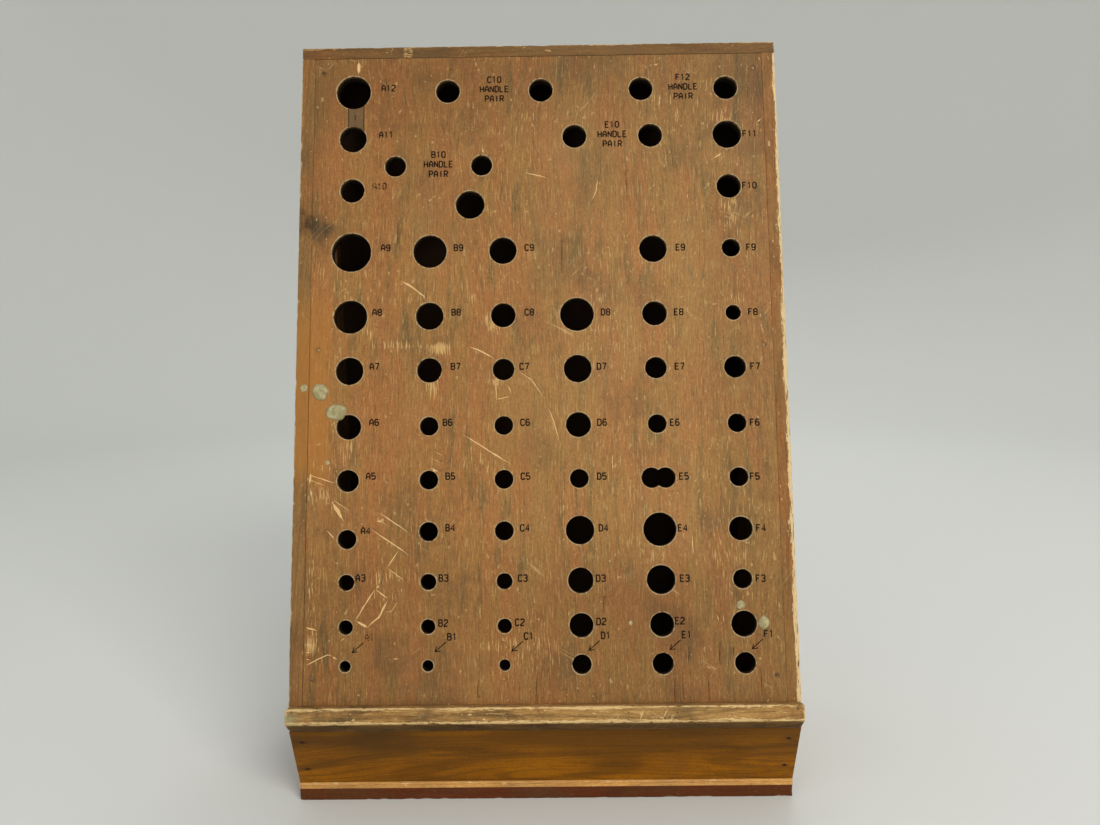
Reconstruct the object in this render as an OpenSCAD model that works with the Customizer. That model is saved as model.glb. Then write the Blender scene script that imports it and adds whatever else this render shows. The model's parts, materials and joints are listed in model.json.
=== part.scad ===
// Counter-top display stand for a set of hand tools.
// A drilled plywood face leans back between two side boards. It stands on a
// nose rail and an undercut apron, over a floor panel and a base board, and it
// is closed by a top board and a thin back.
// +X is right, +Y is towards the back and +Z is up. The origin is under the
// middle of the bounding box, on the counter. Millimetres and degrees.

/* [Overall] */
// Width across the side boards
width = 508; // [420:1:700]
// Height from the counter to the top
height = 782; // [640:1:950]
// Depth at the top, from the face to the back
top_depth = 73; // [60:1:140]
// Lean of the face back from upright
lean = 14; // [8:0.5:20]
// Height of the face's bottom edge
nose_z = 114; // [95:1:160]

/* [Boards] */
// Thickness of the side boards
side_t = 14; // [11:0.5:20]
// Thickness of the drilled face
face_t = 12.7; // [9:0.1:19]
// Thickness of the top board
top_t = 12; // [9:0.5:20]
// Thickness of the floor panel
floor_t = 6.4; // [4:0.1:12]
// Thickness of the base board
base_t = 12.6; // [9:0.1:25]
// Thickness of the back panel
back_t = 6.3; // [4:0.1:10]
// Thickness of the apron
apron_t = 12.7; // [9:0.1:16]

/* [Nose rail] */
// How far the rail stands out from the face
rail_out = 10.5; // [5:0.5:20]
// Height of the rail's front
rail_front = 15; // [10:0.5:20]
// How far the bevel under the rail goes back
rail_bevel = 12.5; // [8:0.5:18]
// Drop from the face's bottom edge to the rail's underside
rail_drop = 26.4; // [22:0.1:34]
// How far the rail reaches in behind the face
rail_in = 22; // [18:0.5:40]

/* [Apron and base] */
// How far the apron's foot is set back from its top edge
apron_setback = 24.3; // [0:0.1:40]
// How far the base stands out from the apron's foot
base_step = 1.5; // [0:0.1:5]

/* [Cleats] */
// Width and depth of the cleats behind the face
face_cleat = 19; // [12:0.5:25]
// Width and height of the cleats on the floor
floor_cleat = 19; // [12:0.5:25]

/* [Hole layout] */
// From a side board's inner face to its nearest column
column_margin = 41; // [38:0.5:60]
// From the face's bottom edge to row 1
first_row = 38; // [25:0.5:50]
// From row 12 to the top of the stand, along the face
last_row = 51; // [40:0.5:70]
// Centre distance of the twin holes at E5
twin_gap = 14; // [11:0.5:20]

/* [Patch] */
// Width of the let-in patch between holes A11 and A12
patch_w = 18; // [12:0.5:24]
// Depth of the patch
patch_t = 6; // [4:0.5:8]
// How far the patch lies right of column A
patch_shift = 3; // [0:0.5:5]

/* [Nails] */
// Shank diameter of the finish nails
nail_d = 2; // [1.4:0.1:2.6]
// Head diameter of the finish nails
nail_head_d = 3.4; // [2.8:0.1:4.5]
// Height of a finish nail's head
nail_head_h = 1.5; // [1:0.1:2]
// How deep the finish nails are set
nail_set = 0.6; // [0.2:0.1:1.5]
// Length of the nails through face, apron, top and base
nail_length = 30; // [27:0.5:31]
// Length of the nails through the nose rail
rail_nail_length = 50; // [45:0.5:60]
// Shank diameter of the panel pins in the back
pin_d = 1.5; // [1:0.1:2]
// Head diameter of the panel pins
pin_head_d = 4; // [3:0.1:5]
// Height of a panel pin's head
pin_head_h = 0.8; // [0.5:0.1:1.5]
// Length of the panel pins
pin_length = 20; // [16:0.5:25]
// Length of the brad in the patch
brad_length = 11; // [9:0.5:11.5]
// From a face nail to the side board's outer face
face_nail_edge = 23.5; // [22:0.5:30]
// From an apron nail to the side board's outer face
apron_nail_edge = 11; // [8:0.5:12]

/* [Hidden] */
$fn = 48;
cut = 1; // how far a cutter runs past the face it cuts
drill_unit = 25.4 / 16; // the drills step by a sixteenth of an inch

// Drill sizes up each column from row 1, in drill units. A zero is no hole.
DRILLS = [
    [7, 9, 10, 12, 14, 16, 18, 22, 26, 16, 18, 23], // column A
    [7, 9, 10, 12, 12, 12, 16, 18, 22],             // column B
    [7, 9, 10, 12, 12, 12, 14, 16, 18],             // column C
    [12, 15, 16, 18, 12, 16, 18, 22],               // column D
    [13, 15, 18, 21, 0, 12, 14, 16, 18],            // column E
    [13, 16, 12, 15, 12, 12, 14, 10, 12, 16, 19],   // column F
];
// Spacing of the rows, from row 1 up, which the face's length stretches
ROW_STEPS = [38, 44, 50, 52, 55, 58, 57, 69, 67, 57, 52];
// How far each column was laid out to the right of an even spacing
COLUMN_SLIPS = [1, 4, 1, -2, -1, 1];
// Pairs for two-handled tools and the loose hole: [column, row, drill].
// A part of a column or row is that share of the way to the next one.
PAIR_HOLES = [
    [1.55, 10.46, 14], [2.71, 10.46, 14], // pair B10
    [2.24, 12, 16], [3.54, 12, 16],       // pair C10
    [4, 11, 16], [5, 11, 16],             // pair E10
    [4.89, 12, 16], [6, 12, 16],          // pair F12
    [2.55, 9.75, 19],                     // the loose hole
];
A4_DROP = 7; // hole A4 was drilled this far below its row
TWIN_DRILL = 13;
TWIN_PLACE = [5, 5]; // column E, row 5

half = width / 2;
wood = floor_t + base_t; // height of the floor's top
under_top = height - top_t;
rail_z = nose_z - rail_drop;
face_length = (height - nose_z) / cos(lean);
rail_reach = rail_out * cos(lean) + rail_front * sin(lean);
depth = rail_reach + (height - nose_z) * tan(lean) + top_depth;
back_y = depth / 2;
back_in = back_y - back_t;
nose_y = rail_reach - depth / 2;
apron_top_y = nose_y - rail_reach + rail_bevel;
apron_foot_y = apron_top_y + apron_setback;
apron_lean = atan(apron_setback / (rail_z - wood));
apron_level = apron_t / cos(apron_lean); // thickness measured level
apron_length = (rail_z - wood) / cos(apron_lean);
base_y = apron_foot_y - base_step;
in_x = half - side_t; // inner face of a side board

// A point on the end view, so far up the face and so far in behind it
function face_point(up, in) = [
    nose_y + up * sin(lean) + in * cos(lean),
    nose_z + up * cos(lean) - in * sin(lean)
];
// Y of the line that lies so far in behind the face, at height z
function face_y(z, in) =
    face_point((z - nose_z + in * sin(lean)) / cos(lean), in)[0];
// Sum of the first n values of a list
function total(list, n) = n <= 0 ? 0 : list[n - 1] + total(list, n - 1);
// A value part of the way between two whole places of a list that counts from 1
function between(list, place) =
    let (low = min(floor(place), len(list) - 1), share = place - low)
    list[low - 1] * (1 - share) + list[low] * share;

column_pitch = 2 * (in_x - column_margin) / (len(COLUMN_SLIPS) - 1);
COLUMNS = [for (i = [0 : len(COLUMN_SLIPS) - 1])
    i * column_pitch - in_x + column_margin + COLUMN_SLIPS[i]];
row_stretch = (face_length - first_row - last_row) / total(ROW_STEPS, len(ROW_STEPS));
ROWS = [for (i = [0 : len(ROW_STEPS)]) first_row + row_stretch * total(ROW_STEPS, i)];

// Every hole as [x, up the face, diameter]
GRID_HOLES = [for (c = [0 : len(DRILLS) - 1], r = [0 : len(DRILLS[c]) - 1])
    if (DRILLS[c][r] > 0)
        [COLUMNS[c], ROWS[r] - (c == 0 && r == 3 ? A4_DROP : 0), DRILLS[c][r] * drill_unit]];
PLACED_HOLES = [for (h = PAIR_HOLES)
    [between(COLUMNS, h[0]), between(ROWS, h[1]), h[2] * drill_unit]];
TWIN_HOLES = [for (s = [-1, 1])
    [between(COLUMNS, TWIN_PLACE[0]) + s * twin_gap / 2,
     between(ROWS, TWIN_PLACE[1]), TWIN_DRILL * drill_unit]];
HOLES = concat(GRID_HOLES, PLACED_HOLES, TWIN_HOLES);

// Where the nails go
face_nail_x = half - face_nail_edge;
FACE_NAIL_UPS = [26, face_length * 0.52, face_length - 29];
APRON_NAIL_UPS = [apron_length * 0.27, apron_length * 0.8];
side_mid = half - side_t / 2;
TOP_NAIL_YS = [face_y(height, 0) + 14, back_in - 14];
BASE_NAIL_YS = [apron_foot_y + apron_level + 22, (apron_foot_y + back_in) / 2, back_in - 30];
BACK_PIN_COUNT = 6;
BACK_PIN_END = 25; // from the outer pins to the ends of the back panel

// Extrudes an end view, given as [y, z] points, from x0 to x1
module board(points, x0, x1) {
    translate([x0, 0, 0]) rotate([90, 0, 90]) linear_extrude(x1 - x0) polygon(points);
}

// End view of a slab that lies between two depths behind the face
function slab(front, back) = [
    face_point(0, front), face_point(0, back),
    [face_y(under_top, back), under_top], [face_y(under_top, front), under_top]
];

// Puts a child on the face with its +Z going square into the wood
module on_face(x, up) {
    translate([x, face_point(up, 0)[0], face_point(up, 0)[1]])
        rotate([-90 - lean, 0, 0]) children();
}

// Puts a child on the apron with its +Z going square into the wood
module on_apron(x, up) {
    translate([x, apron_foot_y - up * sin(apron_lean), wood + up * cos(apron_lean)])
        rotate([apron_lean - 90, 0, 0]) children();
}

// A round-headed fastener along +Z, with its head set below z = 0
module nail(length, shank, head, head_h, set) {
    translate([0, 0, set]) cylinder(d = head, h = head_h);
    translate([0, 0, set + head_h]) cylinder(d = shank, h = length - head_h);
}

// The hole that such a fastener fills, open at z = 0
module nail_hole(length, shank, head, head_h, set) {
    translate([0, 0, -cut]) cylinder(d = head, h = head_h + set + cut);
    translate([0, 0, set]) cylinder(d = shank, h = length);
}

module finish_nail(length = nail_length) {
    nail(length, nail_d, nail_head_d, nail_head_h, nail_set);
}

module finish_hole(length = nail_length) {
    nail_hole(length, nail_d, nail_head_d, nail_head_h, nail_set);
}

module panel_pin() { nail(pin_length, pin_d, pin_head_d, pin_head_h, 0); }
module panel_pin_hole() { nail_hole(pin_length, pin_d, pin_head_d, pin_head_h, 0); }

// Each of these places its children at every nail of one kind
module at_face_nails() {
    for (s = [-1, 1], up = FACE_NAIL_UPS) on_face(s * face_nail_x, up) children();
}

module at_apron_nails() {
    for (s = [-1, 1], up = APRON_NAIL_UPS) on_apron(s * (half - apron_nail_edge), up) children();
}

module at_rail_nails() {
    for (s = [-1, 1]) on_face(s * side_mid, -rail_front / 4)
        translate([0, 0, -rail_out]) children();
}

module at_top_nails() {
    for (s = [-1, 1], y = TOP_NAIL_YS)
        translate([s * side_mid, y, height]) rotate([180, 0, 0]) children();
}

module at_base_nails() {
    for (s = [-1, 1], y = BASE_NAIL_YS) translate([s * side_mid, y, 0]) children();
}

module at_back_pins() {
    span = under_top - wood - 2 * BACK_PIN_END;
    for (s = [-1, 1], i = [0 : BACK_PIN_COUNT - 1])
        translate([s * side_mid, back_y, wood + BACK_PIN_END + i * span / (BACK_PIN_COUNT - 1)])
            rotate([90, 0, 0]) children();
}

// Side board, notched at the nose for the rail; s is -1 on the left
module side(s) {
    profile = [
        [apron_foot_y + apron_level, wood], [apron_top_y + apron_level, rail_z],
        [face_point(0, rail_in)[0], rail_z], face_point(0, rail_in), face_point(0, 0),
        [face_y(under_top, 0), under_top], [back_in, under_top], [back_in, wood]
    ];
    color("#7a5532") difference() {
        board(profile, s > 0 ? in_x : -half, s > 0 ? half : -in_x);
        at_apron_nails() finish_hole();
        at_rail_nails() finish_hole(rail_nail_length);
        at_top_nails() finish_hole();
        at_base_nails() finish_hole();
        at_back_pins() panel_pin_hole();
    }
}

module left_side() { side(-1); }
module right_side() { side(1); }

module top_board() {
    profile = [
        [face_y(under_top, 0), under_top], [face_y(height, 0), height],
        [back_y, height], [back_y, under_top]
    ];
    color("#80582f") difference() {
        board(profile, -half, half);
        at_top_nails() finish_hole();
    }
}

module back_panel() {
    color("#8a6a45") difference() {
        translate([-half, back_in, wood]) cube([width, back_t, under_top - wood]);
        at_back_pins() panel_pin_hole();
    }
}

module base_board() {
    color("#5a2c1c") difference() {
        translate([-half, base_y, 0]) cube([width, back_y - base_y, base_t]);
        at_base_nails() finish_hole();
    }
}

module floor_panel() {
    color("#c58f4e") difference() {
        translate([-half, base_y, base_t]) cube([width, back_y - base_y, floor_t]);
        at_base_nails() finish_hole();
    }
}

// The patch's block, with nothing taken out: it bridges holes A11 and A12
module patch_block(thickness) {
    on_face(COLUMNS[0] + patch_shift - patch_w / 2, ROWS[11])
        translate([0, 0, thickness - patch_t])
            cube([patch_w, ROWS[11] - ROWS[10], patch_t]);
}

// Where the brad stands, half way between the rims of holes A11 and A12
module at_brad() {
    low_rim = ROWS[10] + DRILLS[0][10] * drill_unit / 2;
    high_rim = ROWS[11] - DRILLS[0][11] * drill_unit / 2;
    on_face(COLUMNS[0] + patch_shift - 1, (low_rim + high_rim) / 2) children();
}

module face_panel() {
    color("#8a5a34") difference() {
        intersection() {
            on_face(-in_x, 0) translate([0, -face_length, 0]) cube([2 * in_x, face_length, face_t]);
            translate([-half, -depth, 0]) cube([width, 2 * depth, under_top]);
        }
        for (h = HOLES)
            on_face(h[0], h[1]) translate([0, 0, -cut]) cylinder(d = h[2], h = face_t + 2 * cut);
        patch_block(patch_t);
        at_face_nails() finish_hole();
        at_brad() finish_hole(brad_length);
    }
}

module patch() {
    color("#6f5230") difference() {
        patch_block(patch_t);
        for (row = [10, 11])
            on_face(COLUMNS[0], ROWS[row]) translate([0, 0, -cut])
                cylinder(d = DRILLS[0][row] * drill_unit, h = face_t + 2 * cut);
        at_brad() finish_hole(brad_length);
    }
}

module patch_brad() {
    color("#2b241f") at_brad() finish_nail(brad_length);
}

// Nose rail under the face: proud of it in front and bevelled underneath
module nose_rail() {
    profile = [
        face_point(0, -rail_out), face_point(-rail_front, -rail_out), [apron_top_y, rail_z],
        [face_point(0, rail_in)[0], rail_z], face_point(0, rail_in)
    ];
    color("#9a7b4c") difference() {
        board(profile, -half, half);
        at_rail_nails() finish_hole(rail_nail_length);
    }
}

module apron() {
    profile = [
        [apron_foot_y, wood], [apron_top_y, rail_z],
        [apron_top_y + apron_level, rail_z], [apron_foot_y + apron_level, wood]
    ];
    color("#8a5a1e") difference() {
        board(profile, -half, half);
        at_apron_nails() finish_hole();
    }
}

// Square strip behind the face, along a side board; s is -1 on the left
module face_strip(s) {
    color("#9c7a50") difference() {
        board(slab(face_t, face_t + face_cleat),
            s > 0 ? in_x - face_cleat : -in_x, s > 0 ? in_x : -in_x + face_cleat);
        at_face_nails() finish_hole();
    }
}

module left_face_cleat() { face_strip(-1); }
module right_face_cleat() { face_strip(1); }

// Square strip on the floor, from the apron to the back; s is -1 on the left
module floor_strip(s) {
    front = apron_foot_y + apron_level;
    color("#9c7a50") translate([s > 0 ? in_x - floor_cleat : -in_x, front, wood])
        cube([floor_cleat, back_in - front, floor_cleat]);
}

module left_floor_cleat() { floor_strip(-1); }
module right_floor_cleat() { floor_strip(1); }

module face_nails() { color("#2b241f") at_face_nails() finish_nail(); }
module apron_nails() { color("#2b241f") at_apron_nails() finish_nail(); }
module rail_nails() { color("#2b241f") at_rail_nails() finish_nail(rail_nail_length); }
module top_nails() { color("#2b241f") at_top_nails() finish_nail(); }
module base_nails() { color("#2b241f") at_base_nails() finish_nail(); }
module back_pins() { color("#4a443c") at_back_pins() panel_pin(); }

left_side();
right_side();
top_board();
back_panel();
base_board();
floor_panel();
face_panel();
patch();
patch_brad();
nose_rail();
apron();
left_face_cleat();
right_face_cleat();
left_floor_cleat();
right_floor_cleat();
face_nails();
apron_nails();
rail_nails();
top_nails();
base_nails();
back_pins();
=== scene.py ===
"""Looks of a counter-top display stand for hand tools: worn boards, a drilled face and old finishes.

Lengths are in millimetres until a mesh is made. The face's own coordinates are x to the right,
up along the leaning face from its bottom edge, and out, square to the face and away from it.
"""

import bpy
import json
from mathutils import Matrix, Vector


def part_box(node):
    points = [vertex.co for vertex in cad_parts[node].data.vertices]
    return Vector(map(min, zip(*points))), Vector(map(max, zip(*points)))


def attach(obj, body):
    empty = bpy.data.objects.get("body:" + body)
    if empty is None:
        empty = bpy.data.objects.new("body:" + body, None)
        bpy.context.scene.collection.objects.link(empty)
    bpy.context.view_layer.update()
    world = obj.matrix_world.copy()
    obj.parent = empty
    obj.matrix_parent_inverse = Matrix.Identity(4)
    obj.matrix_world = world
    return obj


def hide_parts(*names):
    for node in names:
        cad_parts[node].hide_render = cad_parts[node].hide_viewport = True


bl_info = {
    "name": "Tool Stand",
    "version": (1, 0, 0),
    "blender": (4, 5, 0),
    "location": "View3D > Sidebar > Tool Stand",
    "description": "Builds the worn boards, the drilled face and the finishes of a tool stand",
    "category": "Add Mesh",
}

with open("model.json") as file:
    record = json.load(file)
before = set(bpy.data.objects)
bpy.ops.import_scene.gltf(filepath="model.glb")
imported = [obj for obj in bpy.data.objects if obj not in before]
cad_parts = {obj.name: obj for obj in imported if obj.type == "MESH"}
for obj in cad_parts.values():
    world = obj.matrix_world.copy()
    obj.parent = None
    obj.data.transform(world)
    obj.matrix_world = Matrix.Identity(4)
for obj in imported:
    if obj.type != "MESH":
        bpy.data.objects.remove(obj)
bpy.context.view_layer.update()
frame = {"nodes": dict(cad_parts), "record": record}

import itertools
import json
import math

import bmesh
import bpy
import numpy as np
from bpy.props import FloatProperty, FloatVectorProperty, PointerProperty
from mathutils import Matrix, Vector
from mathutils.geometry import delaunay_2d_cdt

MM = 0.001
MOUNTS = {mount["name"]: mount for mount in frame["record"]["mounts"]}


def box_mm(node):
    """Lowest and highest corner of a CAD node, in millimetres."""
    low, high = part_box(node)
    return np.array(low) / MM, np.array(high) / MM


def node_points(node):
    """Points of a CAD node's mesh, in millimetres."""
    mesh = frame["nodes"][node].data
    flat = np.empty(len(mesh.vertices) * 3)
    mesh.vertices.foreach_get("co", flat)
    return flat.reshape(-1, 3) / MM


FACE_LOW = box_mm("face_panel")[0]
RAIL_LOW, RAIL_HIGH = box_mm("nose_rail")
APRON_LOW, APRON_HIGH = box_mm("apron")
TOP_LOW, TOP_HIGH = box_mm("top_board")
BASE_LOW, BASE_HIGH = box_mm("base_board")
FLOOR_LOW, FLOOR_HIGH = box_mm("floor_panel")
BACK_LOW, BACK_HIGH = box_mm("back_panel")
SIDE_LOW, SIDE_HIGH = box_mm("right_side")

ANY_HOLE = MOUNTS["hole_a1"]
COS, SIN = -ANY_HOLE["axis"][1], ANY_HOLE["axis"][2]
LEAN = math.atan2(SIN, COS)
FACE_T = ANY_HOLE["dims"]["length_mm"]
NOSE_Y = FACE_LOW[1]
NOSE_Z = FACE_LOW[2] + FACE_T * SIN
HALF = SIDE_HIGH[0]
IN_X = SIDE_LOW[0]
UNDER_TOP = TOP_LOW[2]
FACE_UP = (UNDER_TOP - NOSE_Z) / COS  # length of the face's front
RAIL_OUT = (RAIL_HIGH[2] - NOSE_Z) / SIN
RAIL_FRONT = (NOSE_Y - RAIL_OUT * COS - RAIL_LOW[1]) / SIN
RAIL_IN = (RAIL_HIGH[1] - NOSE_Y) / COS
CLEAT = (NOSE_Z - box_mm("left_face_cleat")[0][2]) / SIN - FACE_T
ARC = 4  # steps round a small arris
QUARTER = np.linspace(0, math.pi / 2, ARC + 1)
FLAT_RING = 2.2  # width of the flat ring of mesh round each hole
PIT_DEPTH = 1.4  # how far a face nail's head is sunk
PIT_RADIUS = 1.85
INK_TOP, INK_FOOT = 0.12, -0.35  # the stamped ink's top and its sunk underside
LETTER_PITCH = 5.3
LINE_DROP = 10.7  # from one line of a legend to the next


def face_to_world(x, up, out):
    """Face coordinates to the part's own: up the lean, and out along the face's normal."""
    return np.stack([x + 0 * up, NOSE_Y + up * SIN - out * COS, NOSE_Z + up * COS + out * SIN], -1)


def world_to_face(points):
    """x, up and out of points of the part."""
    y, z = points[:, 1] - NOSE_Y, points[:, 2] - NOSE_Z
    return np.stack([points[:, 0], y * SIN + z * COS, z * SIN - y * COS], -1)


def face_y(z, depth):
    """Y of the plane that lies so far in behind the face, at height z."""
    up = (z - NOSE_Z + depth * SIN) / COS
    return NOSE_Y + up * SIN + depth * COS


def ease(value):
    """0 below 0, 1 above 1, and a smooth cubic between."""
    value = np.clip(value, 0, 1)
    return value * value * (3 - 2 * value)


def noise(points, size, seed=0):
    """Value noise from -1 to 1: a fixed scrambled number at each whole-number lattice point of
    points / size, mixed between the eight nearest with a smooth cubic."""
    scaled = np.atleast_2d(points) / size + 1000
    cell = np.floor(scaled).astype(np.int64)
    part = ease(scaled - cell)
    total = np.zeros(len(scaled))
    for corner in itertools.product((0, 1), repeat=scaled.shape[1]):
        mixed = (cell + corner) @ np.array([374761393, 668265263, 930871817])[: len(corner)]
        mixed = (mixed + seed * 1274126177) & 0xFFFFFFFF
        mixed = ((mixed ^ (mixed >> 13)) * 1274126177) & 0xFFFFFFFF
        value = ((mixed ^ (mixed >> 16)) & 0xFFFF) / 32767.5 - 1
        total += value * np.prod(np.where(corner, part, 1 - part), axis=1)
    return total


def swell(points):
    """Slow unevenness of a board's front, at x and up: how far it stands out."""
    return 0.12 * noise(points[:, :2], 70, 18) + 0.05 * noise(points[:, :2], 16, 19)


def bell(x, up, middle_x, middle_up, wide, tall):
    """e to the power of minus the squared distance from a middle, counted in half widths."""
    return np.exp(-(((x - middle_x) / wide) ** 2 + ((up - middle_up) / tall) ** 2))


# ---------------------------------------------------------------- meshes

def grid_faces(rows, columns, closed=False, start=0):
    """Quads between neighbours of a rows x columns grid; closed joins the last column to the first."""
    r, c = np.meshgrid(np.arange(rows - 1), np.arange(columns if closed else columns - 1), indexing="ij")
    after = (c + 1) % columns
    quads = [r * columns + c, r * columns + after, (r + 1) * columns + after, (r + 1) * columns + c]
    return (np.stack(quads, -1).reshape(-1, 4) + start).tolist()


def merge_parts(parts):
    """Joins (points, faces, values) parts into one; values missing from a part are zero there."""
    names = {name for _, _, values in parts for name in values}
    points, faces, values, start = [], [], {name: [] for name in names}, 0
    for part_points, part_faces, part_values in parts:
        points.append(part_points)
        faces += [[start + i for i in face] for face in part_faces]
        for name in names:
            values[name].append(part_values.get(name, np.zeros(len(part_points))))
        start += len(part_points)
    return np.concatenate(points), faces, {name: np.concatenate(v) for name, v in values.items()}


def make_piece(name, parts, material, nodes=(), smooth=True):
    """Puts millimetre parts into one mesh, merges touching points, turns every face outwards,
    and rides it on the root body in place of its CAD nodes."""
    points, faces, values = merge_parts(parts)
    mesh = bpy.data.meshes.new(name)
    mesh.from_pydata((points * MM).tolist(), [], faces)
    for key, value in values.items():
        mesh.attributes.new(key, "FLOAT", "POINT").data.foreach_set("value", value.astype(np.float32))
    work = bmesh.new()
    work.from_mesh(mesh)
    bmesh.ops.remove_doubles(work, verts=work.verts, dist=3e-6)
    bmesh.ops.recalc_face_normals(work, faces=work.faces)
    work.to_mesh(mesh)
    work.free()
    mesh.polygons.foreach_set("use_smooth", [smooth] * len(mesh.polygons))
    mesh.materials.append(material)
    piece = bpy.data.objects.new(name, mesh)
    bpy.context.scene.collection.objects.link(piece)
    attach(piece, "root")
    if nodes:
        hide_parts(*nodes)


class Outline:
    """Closed outline of a board's section, run anticlockwise: straight edges between corners of
    given radii. It can be drawn in by any distance and keeps the same number of points."""

    def __init__(self, corners, radii, step):
        corners = np.array(corners, float)
        ahead = np.roll(corners, -1, axis=0)
        if np.sum(corners[:, 0] * ahead[:, 1] - ahead[:, 0] * corners[:, 1]) < 0:
            corners, radii = corners[::-1], list(radii)[::-1]
            ahead = np.roll(corners, -1, axis=0)
        self.corners, self.radii = corners, np.array(radii, float)
        way = ahead - corners
        length = np.linalg.norm(way, axis=1, keepdims=True)
        self.way = way / length
        self.counts = [max(int(v / step), 1) for v in length[:, 0]]
        out = np.stack([self.way[:, 1], -self.way[:, 0]], -1)
        before = np.roll(out, 1, axis=0)
        self.mitre = (out + before) / (1 + np.sum(out * before, axis=1, keepdims=True))

    def loop(self, inset=0.0):
        """Points of the outline drawn in by inset: each corner is a quadratic curve between the
        points that lie its radius away along both edges."""
        corners = self.corners - inset * self.mitre
        radii = np.maximum(self.radii - inset, 0.02)
        u = np.linspace(0, 1, ARC + 1)[:, None]
        runs = []
        for k, count in enumerate(self.counts):
            after = (k + 1) % len(corners)
            first, last = corners[k] - self.way[k - 1] * radii[k], corners[k] + self.way[k] * radii[k]
            runs.append((1 - u) ** 2 * first + 2 * u * (1 - u) * corners[k] + u**2 * last)
            stop = corners[after] - self.way[k] * radii[after]
            runs.append(last + (stop - last) * np.linspace(0, 1, count + 1)[1:-1, None])
        return np.concatenate(runs)

    def outward(self, points):
        """Outward directions of a loop's points, from the chord between their neighbours."""
        chord = np.roll(points, -1, axis=0) - np.roll(points, 1, axis=0)
        return np.stack([chord[:, 1], -chord[:, 0]], -1) / np.linalg.norm(chord, axis=1, keepdims=True)

    def gap(self, points):
        """Distance of each point from the nearest corner that is worn round."""
        worn = self.corners[self.radii > 0.5]
        if not len(worn):
            return np.full(len(points), 50.0)
        return np.linalg.norm(points[:, None] - worn[None], axis=2).min(axis=1)


def prism(corners, radii, x0, x1, ends, step=5.0, chips=0.5, seed=1, chip_size=7.0, cap=2.5):
    """Board along X: a rounded outline in Y and Z carried from x0 to x1, drawn in at each end
    along a quarter circle, and closed by flat ends. Arrises are dented inwards by value noise,
    where it rises above a level, fading out over a few millimetres."""
    outline = Outline(corners, radii, step)
    whole = outline.loop()
    normal, gap = outline.outward(whole), outline.gap(whole)
    arc_in, arc_x = 1 - np.sin(QUARTER), 1 - np.cos(QUARTER)
    middle = np.linspace(x0 + ends[0], x1 - ends[1], max(int((x1 - x0) / step), 1) + 1)[1:-1]
    x = np.concatenate([[x0], x0 + ends[0] * arc_x, middle, x1 - ends[1] * arc_x[::-1], [x1]])
    inset = np.concatenate([[ends[0] + cap], ends[0] * arc_in, 0 * middle, ends[1] * arc_in[::-1],
                            [ends[1] + cap]])
    tilt = np.concatenate([[0], QUARTER, 0 * middle + math.pi / 2, QUARTER[::-1], [0]])
    side = np.where(x < (x0 + x1) / 2, -1, 1) * np.cos(tilt)
    rows, columns = len(x), len(whole)
    flat = np.stack([outline.loop(v) if v else whole for v in inset])
    points = np.concatenate([np.broadcast_to(x[:, None, None], (rows, columns, 1)), flat], 2)
    push = np.concatenate([np.broadcast_to(side[:, None, None], (rows, columns, 1)),
                           np.sin(tilt)[:, None, None] * normal[None]], 2)
    on_cap = np.arange(rows) % (rows - 1) == 0
    from_end = np.minimum(np.where(ends[0] > 0.5, x - x0, 50), np.where(ends[1] > 0.5, x1 - x, 50))
    edge = np.where(on_cap[:, None], inset[:, None], np.minimum(from_end[:, None], gap[None]))
    points, push, edge = points.reshape(-1, 3), push.reshape(-1, 3), edge.reshape(-1)
    scallop = ease(noise(points, chip_size, seed) * 2.2 - 0.5)
    dent = chips * (scallop + 0.35 * ease(noise(points, 2.6, seed + 5)))
    dent *= ease(1.2 - edge / 3.2) * ~np.repeat(on_cap, columns)
    points = points - push * dent[:, None]
    faces = grid_faces(rows, columns, closed=True)
    faces.append(list(range(columns))[::-1])
    faces.append(list(range((rows - 1) * columns, rows * columns)))
    return points, faces, {"edge": np.minimum(edge, 30), "chip": dent / max(chips, 0.01)}


def ring_loop(circles, radius, count):
    """Closed loop round one circle, or round two that overlap side by side: each then keeps only
    the arc outside the other, from the angle whose cosine is half their spacing over the radius."""
    if len(circles) == 1:
        turn = np.linspace(0, 2 * math.pi, count, endpoint=False)
        radius = radius * np.ones(count)
        return np.stack([circles[0][0] + radius * np.cos(turn), circles[0][1] + radius * np.sin(turn)], -1)
    half = (circles[1][0] - circles[0][0]) / 2
    share = np.linspace(0, 1, count // 2, endpoint=False) + 1 / count
    radius = (radius * np.ones(count)).reshape(2, -1)
    runs = []
    for k in (0, 1):
        open_turn = np.arccos(np.clip(half / radius[k], -1, 1))
        turn = open_turn + share * (2 * math.pi - 2 * open_turn) + (0 if k == 0 else math.pi)
        runs.append(np.stack([circles[k][0] + radius[k] * np.cos(turn),
                              circles[k][1] + radius[k] * np.sin(turn)], -1))
    return np.concatenate(runs)


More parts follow.
